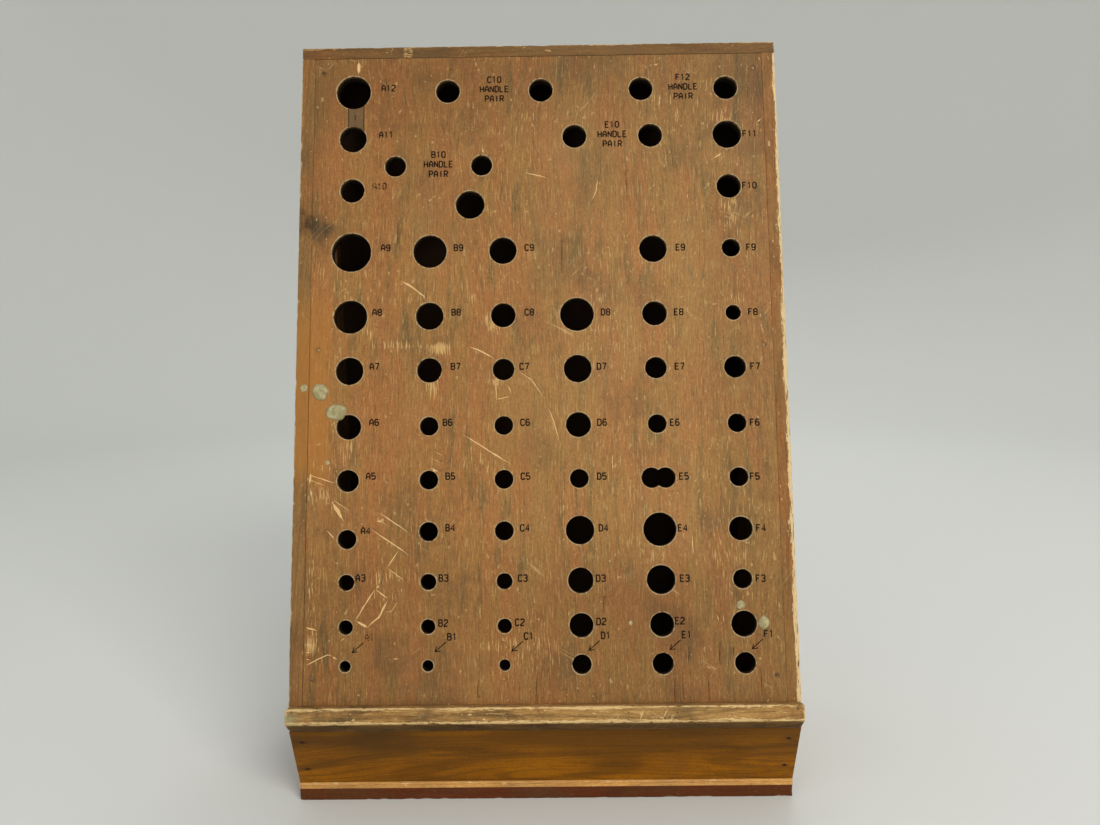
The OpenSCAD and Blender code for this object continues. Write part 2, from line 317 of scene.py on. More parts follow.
class Groove:
    """A scratch: a centre line and a half width that tapers to its ends, both a little uneven."""

    def __init__(self, path, width, taper=0.5, seed=0, kind="bare"):
        self.kind = kind
        path = np.array(path, float)
        reach = np.concatenate([[0], np.cumsum(np.linalg.norm(np.diff(path, axis=0), axis=1))])
        count = max(int(reach[-1] / 3.0), 2)
        at = np.linspace(0, reach[-1], count + 1)
        self.line = np.stack([np.interp(at, reach, path[:, 0]), np.interp(at, reach, path[:, 1])], -1)
        shake = np.stack([noise(self.line, 5, seed + 1), noise(self.line, 5, seed + 2)], -1)
        self.line += 0.35 * shake * np.clip(at * (at[-1] - at), 0, 1)[:, None]
        share = at / at[-1]
        self.half = width / 2 * (1 + 0.5 * noise(self.line, 4, seed + 3))
        self.half *= 0.15 + 0.85 * ease(np.minimum(share, 1 - share) / max(taper, 1e-3) * 2)
        along = np.gradient(self.line, axis=0)
        along /= np.linalg.norm(along, axis=1, keepdims=True)
        side = np.stack([-along[:, 1], along[:, 0]], -1) * self.half[:, None]
        self.left, self.right = self.line + side, self.line - side

    def depth_at(self, points):
        """1 on the centre line, falling evenly to 0 at the half width, for each point."""
        start, way = self.line[:-1], np.diff(self.line, axis=0)
        near = points[:, None] - start[None]
        share = np.clip((near * way).sum(2) / (way**2).sum(1), 0, 1)
        gap = np.linalg.norm(near - share[..., None] * way, axis=2)
        half = self.half[:-1] * (1 - share) + self.half[1:] * share
        return np.clip(1 - gap / np.maximum(half, 0.05), 0, 1).max(axis=1)


def board_outline(half_x, top, arris, spacing):
    """Outline of the flat part of a board's front, inside its arrises, in steps of a spacing."""
    side, high = half_x - arris, top - arris
    corners = np.array([(-side, arris), (side, arris), (side, high), (-side, high), (-side, arris)])
    runs = []
    for a, b in itertools.pairwise(corners):
        steps = max(int(np.linalg.norm(b - a) / spacing), 1)
        runs.append(a + (b - a) * np.linspace(0, 1, steps, endpoint=False)[:, None])
    return np.concatenate(runs)


def front_triangles(half_x, top, outline, loops, grooves, spacing, seed):
    """A drilled board's front as points and triangles, made from a slightly shaken grid, the
    outline, the loops round the holes and the lines of the scratches, and left open in the loops."""

    def clear_of_holes(points, margin):
        keep = np.ones(len(points), bool)
        for circles, radius, *_ in loops:
            for centre in circles:
                keep &= np.linalg.norm(points - centre, axis=1) > radius + FLAT_RING + margin
        return keep

    gx, gu = np.meshgrid(np.arange(-half_x + spacing, half_x - spacing / 2, spacing),
                         np.arange(spacing, top - spacing / 2, spacing))
    field = np.stack([gx.ravel(), gu.ravel()], -1)
    field += 0.2 * spacing * np.stack([noise(field, 3.1, seed), noise(field, 3.7, seed + 1)], -1)
    chains = [(outline, True), (field[clear_of_holes(field, 0.3 * spacing)], None)]
    chains += [(loop, True) for *_, loop in loops]
    for groove in grooves:
        chains += [(groove.line, False), (groove.left, False), (groove.right, False)]
    verts, edges = [], []
    for chain, closed in chains:
        start = sum(len(v) for v in verts)
        verts.append(chain)
        if closed is not None:
            run = list(range(start, start + len(chain)))
            edges += list(zip(run, run[1:])) + ([(run[-1], run[0])] if closed else [])
    verts = [tuple(v) for v in np.concatenate(verts)]
    out_verts, _, out_faces, *_ = delaunay_2d_cdt(verts, edges, [], 0, 1e-6)
    flat = np.array([tuple(v) for v in out_verts])
    tris = np.array([face for face in out_faces if len(face) == 3])
    return flat, tris[clear_of_holes(flat[tris].mean(axis=1), -0.02)]


def hole_profile(radius, wide, thick, blind):
    """Rings of a hole from its flat ring inwards, as (radius, out, share of wall): a quarter round
    of these widths, then the bore down to the back, or a shallow pit that ends blind."""
    rings = [(radius + FLAT_RING, 0.0, 0.0)]
    for angle in QUARTER:
        rings.append((radius + wide * (1 - np.sin(angle)), -wide * 1.1 * (1 - np.cos(angle)), angle / 8))
    if blind:
        return rings + [(radius, -PIT_DEPTH, 1.0), (radius * 0.4, -PIT_DEPTH, 1.0)]
    rings += [(radius, -depth, min(1.0, 0.2 + depth / 7)) for depth in (2.5, 5.5, 9.0, thick - 0.4)]
    return rings + [(radius + 0.4, -thick, 1.0), (radius + FLAT_RING, -thick, 1.0)]


def drilled_board(half_x, top, thick, holes, pits, grooves, spacing, shear, arris, seed, stain_size):
    """A board with round holes, in its own x, up and out. Its front is a triangulated field; each
    hole is a ring of profiles: flat, a worn quarter round whose size wanders, the bore's wall, and
    the back. The back repeats the front's triangles. shear gives how far a point in behind the
    front moves up."""
    loops = []
    for circles, radius, torn in holes + pits:
        count = int(np.clip(2 * math.pi * radius / 1.2, 20, 96)) * len(circles) // 2 * 2
        loops.append((circles, radius, torn, ring_loop(circles, radius + FLAT_RING, count)))
    outline = board_outline(half_x, top, arris, spacing)
    flat, tris = front_triangles(half_x, top, outline, loops, grooves, spacing, seed)

    def values_at(points, out, wall):
        cut = {"bare": np.zeros(len(points)), "crack": np.zeros(len(points))}
        for groove in grooves:
            cut[groove.kind] = np.maximum(cut[groove.kind], groove.depth_at(points))
        rim = np.full(len(points), 30.0)
        for circles, radius, _ in holes:
            for centre in circles:
                rim = np.minimum(rim, np.abs(np.linalg.norm(points - centre, axis=1) - radius))
        stain = np.zeros(len(points))
        for circles, *_ in pits:
            stain = np.maximum(stain, np.exp(-(((points - circles[0]) / stain_size) ** 2).sum(1)))
        near = out > -0.5
        return {"bare": cut["bare"] * near, "crack": cut["crack"] * near, "rim": rim, "wall": wall,
                "stain": stain}

    front = values_at(flat, np.zeros(len(flat)), np.zeros(len(flat)))
    out = swell(flat) - 0.18 * front["bare"] - 0.5 * front["crack"]
    parts = [(np.column_stack([flat, out]), tris.tolist(), front)]
    # wall rises with depth into a hole and is 1 on the board's back; the finishes paint shade by it
    back_values = {"rim": front["rim"], "wall": np.ones(len(flat))}
    rise = thick * shear(flat[:, 1])
    parts.append((np.column_stack([flat[:, 0], flat[:, 1] + rise, np.full(len(flat), -thick)]),
                  tris[:, ::-1].tolist(), back_values))
    for index, (circles, radius, torn, loop) in enumerate(loops):
        count, blind = len(loop), index >= len(holes)
        wide = 0.45 + 0.35 * noise(loop, 4, seed + 3) + 0.25 * noise(loop, 1.7, seed + 4)
        wide = (wide + torn * (0.5 + noise(loop, 2.4, seed + 5)).clip(0)).clip(0.2, 1.9)
        rings = hole_profile(radius, 0.15 if blind else wide, thick, blind)
        points, walls = [], []
        for ring_radius, ring_out, wall in rings:
            spot = ring_loop(circles, ring_radius, count)
            lift = swell(spot) * (wall < 0.9)
            points.append(np.column_stack([spot, ring_out + lift]))
            walls.append(np.full(count, wall))
        points, walls = np.concatenate(points), np.concatenate(walls)
        faces = grid_faces(len(rings), count, closed=True)
        if blind:
            faces.append(list(range((len(rings) - 1) * count, len(rings) * count)))
            rise = thick * shear(loop[:, 1])
            plug = np.column_stack([loop[:, 0], loop[:, 1] + rise, np.full(count, -thick)])
            parts.append((plug, [list(range(count))], {"wall": np.ones(count)}))
        values = values_at(points[:, :2], points[:, 2], walls)
        parts.append((points, faces, values))
    half_way = [half_x - arris - 0.01, top / 2 - arris - 0.01]
    from_middle = outline - [0, top / 2]
    away = np.sign(from_middle) * (np.abs(from_middle) > half_way)
    rings = [(arris * (1 - math.sin(a)), -arris * (1 - math.cos(a))) for a in QUARTER]
    rings += [(0, -thick + 0.3), (0.3, -thick), (arris, -thick)]
    points = []
    for inset, depth in rings:
        spot = outline + away * (arris - inset)
        rise = -depth * shear(spot[:, 1])
        points.append(np.column_stack([spot[:, 0], spot[:, 1] + rise,
                                       depth + swell(spot) * (depth > -arris - 0.1)]))
    points = np.concatenate(points)
    scratched = values_at(outline, np.zeros(len(outline)), 0)["bare"]
    points[: len(outline), 2] = swell(outline) - 0.18 * scratched
    parts.append((points, grid_faces(len(rings), len(outline), closed=True),
                  {"rim": np.full(len(points), 30.0)}))
    return merge_parts(parts)


def bar(path, width, top, bottom):
    """Flat bar along a path: its four long lines lie half the width to each side of the path, on
    the mitred side direction, at the top and bottom heights; both ends are closed."""
    path = np.array(path, float)
    way = np.diff(path, axis=0)
    way /= np.linalg.norm(way, axis=1, keepdims=True)
    closed = np.allclose(path[0], path[-1])
    before = np.vstack([way[-1:] if closed else way[:1], way])
    after = np.vstack([way, way[:1] if closed else way[-1:]])
    along = before + after
    along /= np.linalg.norm(along, axis=1, keepdims=True)
    mitre = np.minimum(1 / np.maximum((along * after).sum(1), 0.1), 1.6)
    side = np.stack([-along[:, 1], along[:, 0]], -1) * (mitre * width / 2)[:, None]
    left, right = path + side, path - side
    lines = [np.column_stack([line, np.full(len(path), height)])
             for line, height in ((left, top), (left, bottom), (right, bottom), (right, top))]
    points = np.stack(lines, 1).reshape(-1, 3)
    faces = grid_faces(len(path), 4, closed=True)
    faces += [[3, 2, 1, 0], [len(points) - 4 + k for k in range(4)]]
    return points, faces, {}


def dome(x, up, wide, tall, lift, seed, wobble=0.12, rings=7, around=40):
    """Dried drop: rings of an ellipse whose outline wanders a little, raised by one minus the
    fourth power of the share out, with a thick lip and a sunk flat underside."""
    share = np.concatenate([np.linspace(0.05, 1, rings), [1.0, 0.05]])
    turn = np.linspace(0, 2 * math.pi, around, endpoint=False)
    outline = 1 + wobble * noise(np.stack([np.cos(turn), np.sin(turn)], -1) * 2 + seed * 7, 1, seed)
    height = lift * (1 - share**4) * (0.75 + 0.25 * share)
    height[-2:] = -0.4
    px = x + wide * share[:, None] * outline * np.cos(turn)
    py = up + tall * share[:, None] * outline * np.sin(turn)
    points = np.stack([px, py, np.broadcast_to(height[:, None], px.shape)], -1).reshape(-1, 3)
    rows = len(share)
    faces = grid_faces(rows, around, closed=True)
    faces += [list(range(around))[::-1], list(range((rows - 1) * around, rows * around))]
    return points, faces, {"share": np.repeat(share, around)}


def on_face(part):
    """A part in face coordinates moved to its place on the stand, following the face's swell."""
    points, faces, values = part
    return face_to_world(points[:, 0], points[:, 1], points[:, 2] + swell(points)), faces, values


# ---------------------------------------------------------------- shader nodes

def rgb(red, green, blue):
    """A colour given on the usual 0 to 255 screen scale, as the shader's linear values."""
    return tuple((v / 255 / 12.92 if v <= 10 else ((v / 255 + 0.055) / 1.055) ** 2.4)
                 for v in (red, green, blue)) + (1.0,)


def add(tree, kind, inputs=None, **settings):
    """One shader node with its settings, and inputs that are linked from sockets or set."""
    node = tree.nodes.new("ShaderNode" + kind)
    for key, value in settings.items():
        setattr(node, key, value)
    for key, value in (inputs or {}).items():
        if isinstance(value, bpy.types.NodeSocket):
            tree.links.new(value, node.inputs[key])
        else:
            node.inputs[key].default_value = value
    return node


def calc(tree, operation, a, b=0.0, c=0.0):
    """A Math node's result."""
    return add(tree, "Math", {0: a, 1: b, 2: c}, operation=operation).outputs[0]


def step_mask(tree, value, low, high):
    """0 where value is under low and 1 where it is over high, smooth between."""
    node = add(tree, "MapRange", {"Value": value, "From Min": low, "From Max": high},
               interpolation_type="SMOOTHSTEP")
    return node.outputs[0]


def blend(tree, share, under, over, mode="MIX"):
    """Colour over laid on colour under, by share."""
    return add(tree, "Mix", {0: share, 6: under, 7: over}, data_type="RGBA", blend_type=mode).outputs[2]


def cloud(tree, vector, scale, detail=2.0, rough=0.5, distort=0.0):
    """Value of a Noise Texture."""
    return add(tree, "TexNoise", {"Vector": vector, "Scale": scale, "Detail": detail,
                                  "Roughness": rough, "Distortion": distort}).outputs["Fac"]


def stretch(tree, vector, scale, turn=(0, 0, 0), shift=(0, 0, 0)):
    """A coordinate turned and scaled by a Mapping node."""
    settings = {"Vector": vector, "Location": shift, "Rotation": turn, "Scale": scale}
    return add(tree, "Mapping", settings).outputs[0]


def attribute(tree, name):
    """Value of a mesh attribute."""
    return add(tree, "Attribute", attribute_name=name).outputs["Fac"]


def tint(tree, colour, **overs):
    """Lays colours on a colour, one after another, each by the mesh attribute it is named after."""
    for name, over in overs.items():
        colour = blend(tree, attribute(tree, name), colour, over)
    return colour


def new_group(name, sockets_in, sockets_out):
    """Empty shader group with these sockets; gives the tree, its input node and its output node."""
    tree = bpy.data.node_groups.new(name, "ShaderNodeTree")
    for socket, kind, default in sockets_in:
        made = tree.interface.new_socket(socket, in_out="INPUT", socket_type="NodeSocket" + kind)
        if default is not None:
            made.default_value = default
    for socket, kind in sockets_out:
        tree.interface.new_socket(socket, in_out="OUTPUT", socket_type="NodeSocket" + kind)
    return tree, tree.nodes.new("NodeGroupInput"), tree.nodes.new("NodeGroupOutput")


def grain_group():
    """Wood grain that runs along Z of the vector, which is in metres: soft patches, narrow bands
    that come and go, fine dark and pale fibres, growth lines, pores and a speckled brightness."""
    tree, given, result = new_group("wood_grain", [
        ("Vector", "Vector", None), ("Base", "Color", rgb(134, 95, 55)), ("Warm", "Color", rgb(134, 86, 50)),
        ("Dark", "Color", rgb(100, 75, 45)), ("Pale", "Color", rgb(163, 127, 79)),
        ("Streaks", "Float", 0.5), ("Flecks", "Float", 0.5), ("Lines", "Float", 0.3)],
        [("Color", "Color"), ("Height", "Float"), ("Pores", "Float"), ("Fleck", "Float")])
    vector = given.outputs["Vector"]
    sway = cloud(tree, stretch(tree, vector, (1, 1, 0.35)), 9.0, 2.0)
    offset = add(tree, "CombineXYZ", {"X": calc(tree, "MULTIPLY", sway, 0.03)})
    flow = add(tree, "VectorMath", {0: vector, 1: offset.outputs[0]}, operation="ADD").outputs[0]
    broad = cloud(tree, stretch(tree, flow, (30, 30, 7)), 1.0, 4.0, 0.6)
    patch = cloud(tree, stretch(tree, vector, (26, 26, 15), shift=(2, 7, 1)), 1.0, 3.0, 0.6)
    band = cloud(tree, stretch(tree, flow, (95, 95, 12)), 1.0, 4.0, 0.62)
    streak = cloud(tree, stretch(tree, flow, (420, 420, 16)), 1.0, 4.0, 0.65)
    fleck = cloud(tree, stretch(tree, flow, (700, 700, 60)), 1.0, 3.0, 0.62)
    pore = cloud(tree, stretch(tree, flow, (1500, 1500, 90)), 1.0, 2.0, 0.5)
    grit = cloud(tree, stretch(tree, vector, (1, 1, 0.55)), 640.0, 4.0, 0.7)
    growth = cloud(tree, stretch(tree, flow, (20, 20, 1.7)), 1.0, 1.0, 0.4)
    rings = calc(tree, "SINE", calc(tree, "MULTIPLY", growth, 130.0))
    colour = blend(tree, step_mask(tree, broad, 0.42, 0.58), given.outputs["Base"], given.outputs["Warm"])
    there = step_mask(tree, patch, 0.4, 0.66)
    dark_share = calc(tree, "MULTIPLY", calc(tree, "MULTIPLY", step_mask(tree, band, 0.48, 0.64), there),
                      given.outputs["Streaks"])
    colour = blend(tree, dark_share, colour, given.outputs["Dark"])
    fine_share = calc(tree, "MULTIPLY", step_mask(tree, streak, 0.5, 0.66), given.outputs["Streaks"])
    colour = blend(tree, calc(tree, "MULTIPLY", fine_share, 0.55), colour, given.outputs["Dark"])
    pale_share = calc(tree, "MULTIPLY", step_mask(tree, fleck, 0.52, 0.68), given.outputs["Flecks"])
    fleck_there = calc(tree, "ADD", calc(tree, "MULTIPLY", patch, 1.2), 0.1)
    pale_share = calc(tree, "MULTIPLY", pale_share, fleck_there)
    colour = blend(tree, pale_share, colour, given.outputs["Pale"])
    line_share = calc(tree, "MULTIPLY", step_mask(tree, rings, 0.55, 1.0), given.outputs["Lines"])
    colour = blend(tree, line_share, colour, given.outputs["Dark"])
    pores = step_mask(tree, pore, 0.56, 0.68)
    colour = blend(tree, calc(tree, "MULTIPLY", pores, 0.35), colour, rgb(75, 48, 27))
    shade = add(tree, "MapRange", {"Value": grit, "From Min": 0.3, "From Max": 0.7, "To Min": 0.78,
                                   "To Max": 1.22})
    colour = add(tree, "VectorMath", {0: colour, "Scale": shade.outputs[0]}, operation="SCALE").outputs[0]
    height = calc(tree, "ADD", calc(tree, "MULTIPLY", streak, 0.6), calc(tree, "MULTIPLY", fleck, 0.5))
    height = calc(tree, "SUBTRACT", height, calc(tree, "MULTIPLY", pores, 0.35))
    for name, value in (("Color", colour), ("Height", height), ("Pores", pores), ("Fleck", fleck)):
        tree.links.new(value, result.inputs[name])
    return tree


def wear_group():
    """Arris wear: 1 where the distance from an arris, in millimetres, is under a reach that
    wanders, with the worn stretches drawn out along the grain."""
    tree, given, result = new_group("edge_wear", [
        ("Vector", "Vector", None), ("Edge", "Float", 30.0), ("Chip", "Float", 0.0),
        ("Reach", "Float", 1.6), ("Amount", "Float", 0.5)], [("Mask", "Float")])
    drawn = stretch(tree, given.outputs["Vector"], (1, 1, 0.3))
    coarse = cloud(tree, drawn, 60.0, 4.0, 0.65)
    fine = cloud(tree, drawn, 700.0, 3.0, 0.65)
    level = calc(tree, "ADD", calc(tree, "MULTIPLY", coarse, 1.2), calc(tree, "MULTIPLY", fine, 0.8))
    level = calc(tree, "ADD", calc(tree, "SUBTRACT", level, 1.5), given.outputs["Amount"])
    reach = calc(tree, "MULTIPLY", calc(tree, "MULTIPLY", level, 3.0), given.outputs["Reach"])
    mask = step_mask(tree, calc(tree, "SUBTRACT", reach, given.outputs["Edge"]), -0.5, 0.5)
    chipped = calc(tree, "MULTIPLY", step_mask(tree, given.outputs["Chip"], 0.5, 0.95),
                   step_mask(tree, fine, 0.4, 0.6))
    tree.links.new(calc(tree, "MAXIMUM", mask, chipped), result.inputs["Mask"])
    return tree


def grime_group():
    """Handling dirt and bleached patches: two soft clouds that darken and lighten a colour."""
    tree, given, result = new_group("grime", [
        ("Vector", "Vector", None), ("Color", "Color", rgb(134, 95, 55)), ("Dirt", "Float", 0.3),
        ("Bleach", "Float", 0.2)], [("Color", "Color"), ("Mask", "Float")])
    dirt = cloud(tree, given.outputs["Vector"], 13.0, 5.0, 0.62)
    spots = cloud(tree, given.outputs["Vector"], 190.0, 2.0, 0.5)
    bleach = cloud(tree, stretch(tree, given.outputs["Vector"], (1, 1, 0.4), shift=(3, 1, 2)), 8.0, 4.0, 0.6)
    dirt_share = calc(tree, "MULTIPLY", step_mask(tree, dirt, 0.5, 0.72), given.outputs["Dirt"])
    spot_share = calc(tree, "MULTIPLY", step_mask(tree, spots, 0.71, 0.78), given.outputs["Dirt"])
    colour = blend(tree, dirt_share, given.outputs["Color"], rgb(82, 66, 43))
    colour = blend(tree, calc(tree, "MULTIPLY", step_mask(tree, bleach, 0.5, 0.7), given.outputs["Bleach"]),
                   colour, rgb(164, 130, 82))
    colour = blend(tree, spot_share, colour, rgb(54, 38, 25))
    tree.links.new(colour, result.inputs["Color"])
    tree.links.new(dirt_share, result.inputs["Mask"])
    return tree


def scuff_group():
    """Fine light scuffs and nicks: thin lines where two stretched, turned clouds cross their
    middle value, and small specks."""
    tree, given, result = new_group("scuffs", [("Vector", "Vector", None), ("Amount", "Float", 0.5)],
                                    [("Mask", "Float")])
    total = None
    for turn, scale in (((0, 0.9, 0), (5, 5, 90)), ((0, -0.5, 0), (4, 4, 110))):
        turned = stretch(tree, given.outputs["Vector"], (1, 1, 1), turn)
        line = cloud(tree, stretch(tree, turned, scale), 1.0, 1.0, 0.4)
        near = calc(tree, "ABSOLUTE", calc(tree, "SUBTRACT", line, 0.5))
        thin = step_mask(tree, calc(tree, "MULTIPLY", near, -1.0), -0.0045, -0.001)
        total = thin if total is None else calc(tree, "MAXIMUM", total, thin)
    where = step_mask(tree, cloud(tree, given.outputs["Vector"], 22.0, 3.0, 0.6), 0.56, 0.64)
    total = calc(tree, "MULTIPLY", total, where)
    speck = cloud(tree, stretch(tree, given.outputs["Vector"], (1, 1, 0.6), shift=(5, 5, 5)), 260.0, 1.0, 0.5)
    speck = step_mask(tree, speck, 0.73, 0.76)
    total = calc(tree, "MULTIPLY", calc(tree, "MAXIMUM", total, speck), given.outputs["Amount"])
    tree.links.new(total, result.inputs["Mask"])
    return tree


class Finish:
    """A material under construction: its tree, its Principled shader and the part's coordinates."""

    def __init__(self, name, turn=(0, 0, 0), shift=(0, 0, 0)):
        self.material = bpy.data.materials.new(name)
        self.material.use_nodes = True
        self.tree = self.material.node_tree
        self.shader = self.tree.nodes["Principled BSDF"]
        place = add(self.tree, "TexCoord").outputs["Object"]
        self.place = stretch(self.tree, place, (1, 1, 1), turn, shift)

    def group(self, name, **inputs):
        """Places a shared group in this material with its own values."""
        node = self.tree.nodes.new("ShaderNodeGroup")
        node.node_tree = bpy.data.node_groups[name]
        self.tree.links.new(self.place, node.inputs["Vector"])
        for key, value in inputs.items():
            if isinstance(value, bpy.types.NodeSocket):
                self.tree.links.new(value, node.inputs[key])
            else:
                node.inputs[key].default_value = value
        return node

    def finish(self, colour, rough_low, rough_high, rough_by, height, bump, distance=0.0004, specular=0.35):
        """Sends the colour, a roughness between two values and the bump to the shader."""
        tree = self.tree
        tree.links.new(colour, self.shader.inputs["Base Color"])
        rough = add(tree, "MapRange", {"Value": rough_by, "To Min": rough_low, "To Max": rough_high})
        tree.links.new(rough.outputs[0], self.shader.inputs["Roughness"])
        node = add(tree, "Bump", {"Strength": bump, "Distance": distance, "Height": height})
        tree.links.new(node.outputs[0], self.shader.inputs["Normal"])
        self.shader.inputs["Specular IOR Level"].default_value = specular
        return self.material


def board_finish(name, base, warm, dark, pale, turn=(0, 0, 0), shift=(0, 0, 0), streaks=0.5, flecks=0.4,
                 lines=0.25, dirt=0.3, bleach=0.15, reach=1.4, amount=0.5, bare=(175, 141, 93),
                 rough=(0.5, 0.75), bump=0.5, scuffs=0.6, specular=0.25):
    """Worn board: grain, then grime, then scuffs, bare wood along its arrises, and varnish, shade
    or a smear where the piece has an attribute of that kind. The shade attribute is painted shade
    under the nose rail's bevel and on the back panel's inside, and darkens the rail towards its left
    end; on the left side board it holds a dark smudge of dirt, and round the patch dark joint lines."""
    look = Finish(name, turn, shift)
    tree = look.tree
    grain = look.group("wood_grain", Base=rgb(*base), Warm=rgb(*warm), Dark=rgb(*dark), Pale=rgb(*pale),
                       Streaks=streaks, Flecks=flecks, Lines=lines)
    dirty = look.group("grime", Color=grain.outputs["Color"], Dirt=dirt, Bleach=bleach)
    scuff = look.group("scuffs", Amount=scuffs).outputs["Mask"]
    worn = look.group("edge_wear", Edge=attribute(tree, "edge"), Chip=attribute(tree, "chip"),
                      Reach=reach, Amount=amount).outputs["Mask"]
    colour = blend(tree, scuff, dirty.outputs["Color"], rgb(*bare))
    raw = blend(tree, grain.outputs["Pores"], rgb(*bare), rgb(*dark))
    colour = tint(tree, colour, amber=AMBER)
    colour = blend(tree, calc(tree, "MULTIPLY", worn, 0.85), colour, raw)
    # shade: painted shade under the rail's bevel and inside the back panel, the rail's darker left end, a
    # dirt smudge on the left side board and the patch's joint lines
    colour = tint(tree, colour, shade=rgb(52, 31, 9), smear=rgb(150, 146, 104))
    return look.finish(colour, rough[0], rough[1], calc(tree, "MAXIMUM", worn, grain.outputs["Height"]),
                       grain.outputs["Height"], bump, specular=specular)


ALONG_X = (0, math.pi / 2, 0)
LEANING = (LEAN, 0, 0)
AMBER = rgb(168, 111, 46)  # old varnish along the left edge


def make_groups():
    """The shared shader groups."""
    for build in (grain_group, wear_group, grime_group, scuff_group):
        build()


# ---------------------------------------------------------------- the face's marks

# Scratches on the face: [points as (x, up)], width
SCRATCHES = [
    ([(-74, 360), (-63, 355), (-48, 347)], 1.3), ([(-25, 334.5), (-10, 324), (2, 306)], 1.0),
    ([(7, 295), (13, 279), (18, 261)], 0.9), ([(-80, 268), (-72, 263), (-38, 241), (-32, 238)], 1.5),
    ([(-145, 430), (-136, 425), (-120, 412)], 1.8), ([(-109, 251), (-101, 247)], 1.0),
    ([(-111, 244), (-104, 240)], 0.9), ([(-114, 235), (-105, 230)], 1.1),
    ([(-166, 190), (-135, 169)], 1.2), ([(-164, 181), (-157, 177)], 0.8),
    ([(-173, 173), (-135, 147)], 1.2), ([(-146, 151), (-157, 135)], 1.3),
    ([(-156, 134), (-140, 122)], 1.0),
    ([(-163, 125), (-166, 118)], 1.0), ([(-188, 83), (-180, 97), (-169, 113)], 1.4),
    ([(-168, 113), (-156, 104)], 1.6), ([(-156, 103), (-164, 87), (-175, 77)], 1.8),
    ([(-176, 76), (-187, 82)], 2.2), ([(-219, 173), (-210.5, 163.5)], 1.0),
    ([(-238, 229), (-211, 220)], 1.0), ([(-238, 224), (-221, 218)], 0.8),
    ([(-236, 230), (-237, 220)], 2.4), ([(-236, 214), (-235, 206)], 2.2),
    ([(-213, 200), (-207, 191), (-203, 184)], 3.4), ([(-212, 203), (-195, 191)], 0.9),
    ([(-238, 77), (-226, 73)], 1.5), ([(-238, 39), (-215, 50), (-210, 48)], 1.1),
    ([(-238, 60), (-232, 60)], 1.0), ([(-238, 52), (-233, 52)], 0.9), ([(-238, 46), (-233, 45)], 0.9),
    ([(-142, 115), (-142, 110)], 0.8), ([(-146, 101), (-152, 91), (-159, 91)], 0.7),
    ([(-151, 45), (-144, 45)], 0.8), ([(-203, 63), (-199, 66)], 1.0), ([(151, 164), (151, 144)], 0.9),
    ([(173, 85), (175, 79)], 0.9), ([(179, 84), (180, 78)], 0.8), ([(72, 246), (72, 230)], 1.0),
    ([(-47, 322), (-46, 303)], 0.9), ([(-46, 304), (-33, 307)], 1.0), ([(-34, 319), (-31, 311)], 0.9),
    ([(-15, 546), (8, 540)], 1.0), ([(-193, 672), (-193, 659)], 3.0), ([(-60, 573), (-59, 569)], 2.4),
    ([(125, 664), (128, 665)], 1.8), ([(232, 598), (237, 602)], 1.5), ([(194, 565), (185, 559)], 1.6),
    ([(156, 521), (156, 515)], 1.6), ([(62, 538), (60, 525), (55, 514)], 0.8),
    ([(-152, 583), (-150, 582)], 1.8),
]

# Dark cracks along the grain: x, lower end, upper end, drift to the right, width
CRACKS = [(143.5, 37, 55, 0.6, 0.9), (174.5, 38, 59, 0.7, 1.3), (188.3, 45, 56, -0.5, 1.2),
          (162.5, 3, 25, 0.7, 1.0), (128.8, 3, 23, 0.5, 1.1), (137, 6, 20, -0.4, 0.8),
          (214.5, 9, 27, 0.6, 1.0), (-66, 8, 24, 0.3, 0.7), (-8, 4, 30, 0.8, 0.8),
          (60, 90, 104, 0.4, 0.7), (-150, 470, 492, 0.5, 0.7), (92, 520, 545, -0.4, 0.7),
          (-96, 640, 662, 0.3, 0.6), (22, 440, 470, 0.6, 0.6)]

# Holes with torn rims, and how torn
TORN = {"hole_b7": 1.0, "hole_f11": 0.8, "hole_f10": 0.5, "hole_f7": 0.6, "hole_e1": 0.9,
        "hole_a9": 0.4, "hole_a11": 0.5, "hole_d6": 0.4, "hole_d3": 0.4, "hole_c7": 0.4,
        "hole_loose": 0.4, "hole_e2": 0.4}

# Rubbed patches, full of short pale ticks: x, up, half width, half height, strength
RUBBED = [(-106, 358, 14, 7, 1.2), (-150, 362, 40, 6, 0.75), (-178, 377, 7, 9, 0.9),
          (-112, 320, 9, 14, 0.9), (-50, 384, 14, 12, 0.8), (-47, 322, 10, 8, 0.8),
          (-73, 412, 9, 12, 0.6), (-225, 205, 16, 20, 0.6), (-216, 236, 20, 9, 0.55),
          (-234, 118, 6, 50, 0.6), (-232, 62, 8, 30, 0.7), (-160, 125, 22, 34, 0.45),
          (-200, 250, 14, 24, 0.5), (-30, 600, 70, 30, 0.35), (196, 600, 24, 14, 0.6),
          (202, 505, 18, 30, 0.6), (206, 402, 18, 24, 0.5), (-60, 240, 24, 18, 0.5),
          (-20, 50, 60, 40, 0.45), (110, 150, 50, 30, 0.4), (190, 150, 40, 70, 0.4),
          (60, 380, 50, 60, 0.35), (-190, 420, 40, 40, 0.4), (150, 620, 60, 40, 0.3)]


def rubbed_at(x, up):
    """How rubbed the face is at each point: the strongest of the patches' bells."""
    share = np.zeros(len(x))
    for middle_x, middle_up, wide, tall, strength in RUBBED:
        share = np.maximum(share, strength * bell(x, up, middle_x, middle_up, wide, tall))
    return share


# Dried drops: x, up, half width, half height, thickness
DROPS = [(-245, 318, 4, 4, 0.5), (-228, 314, 8.5, 9, 0.9), (-211, 293, 11, 8.5, 0.9),
         (-219, 241, 2.4, 2.4, 0.4), (197, 94.5, 4.4, 4.4, 0.5), (219.5, 77, 5.4, 6.6, 0.7),
         (87, 78, 2.2, 2.2, 0.4)]

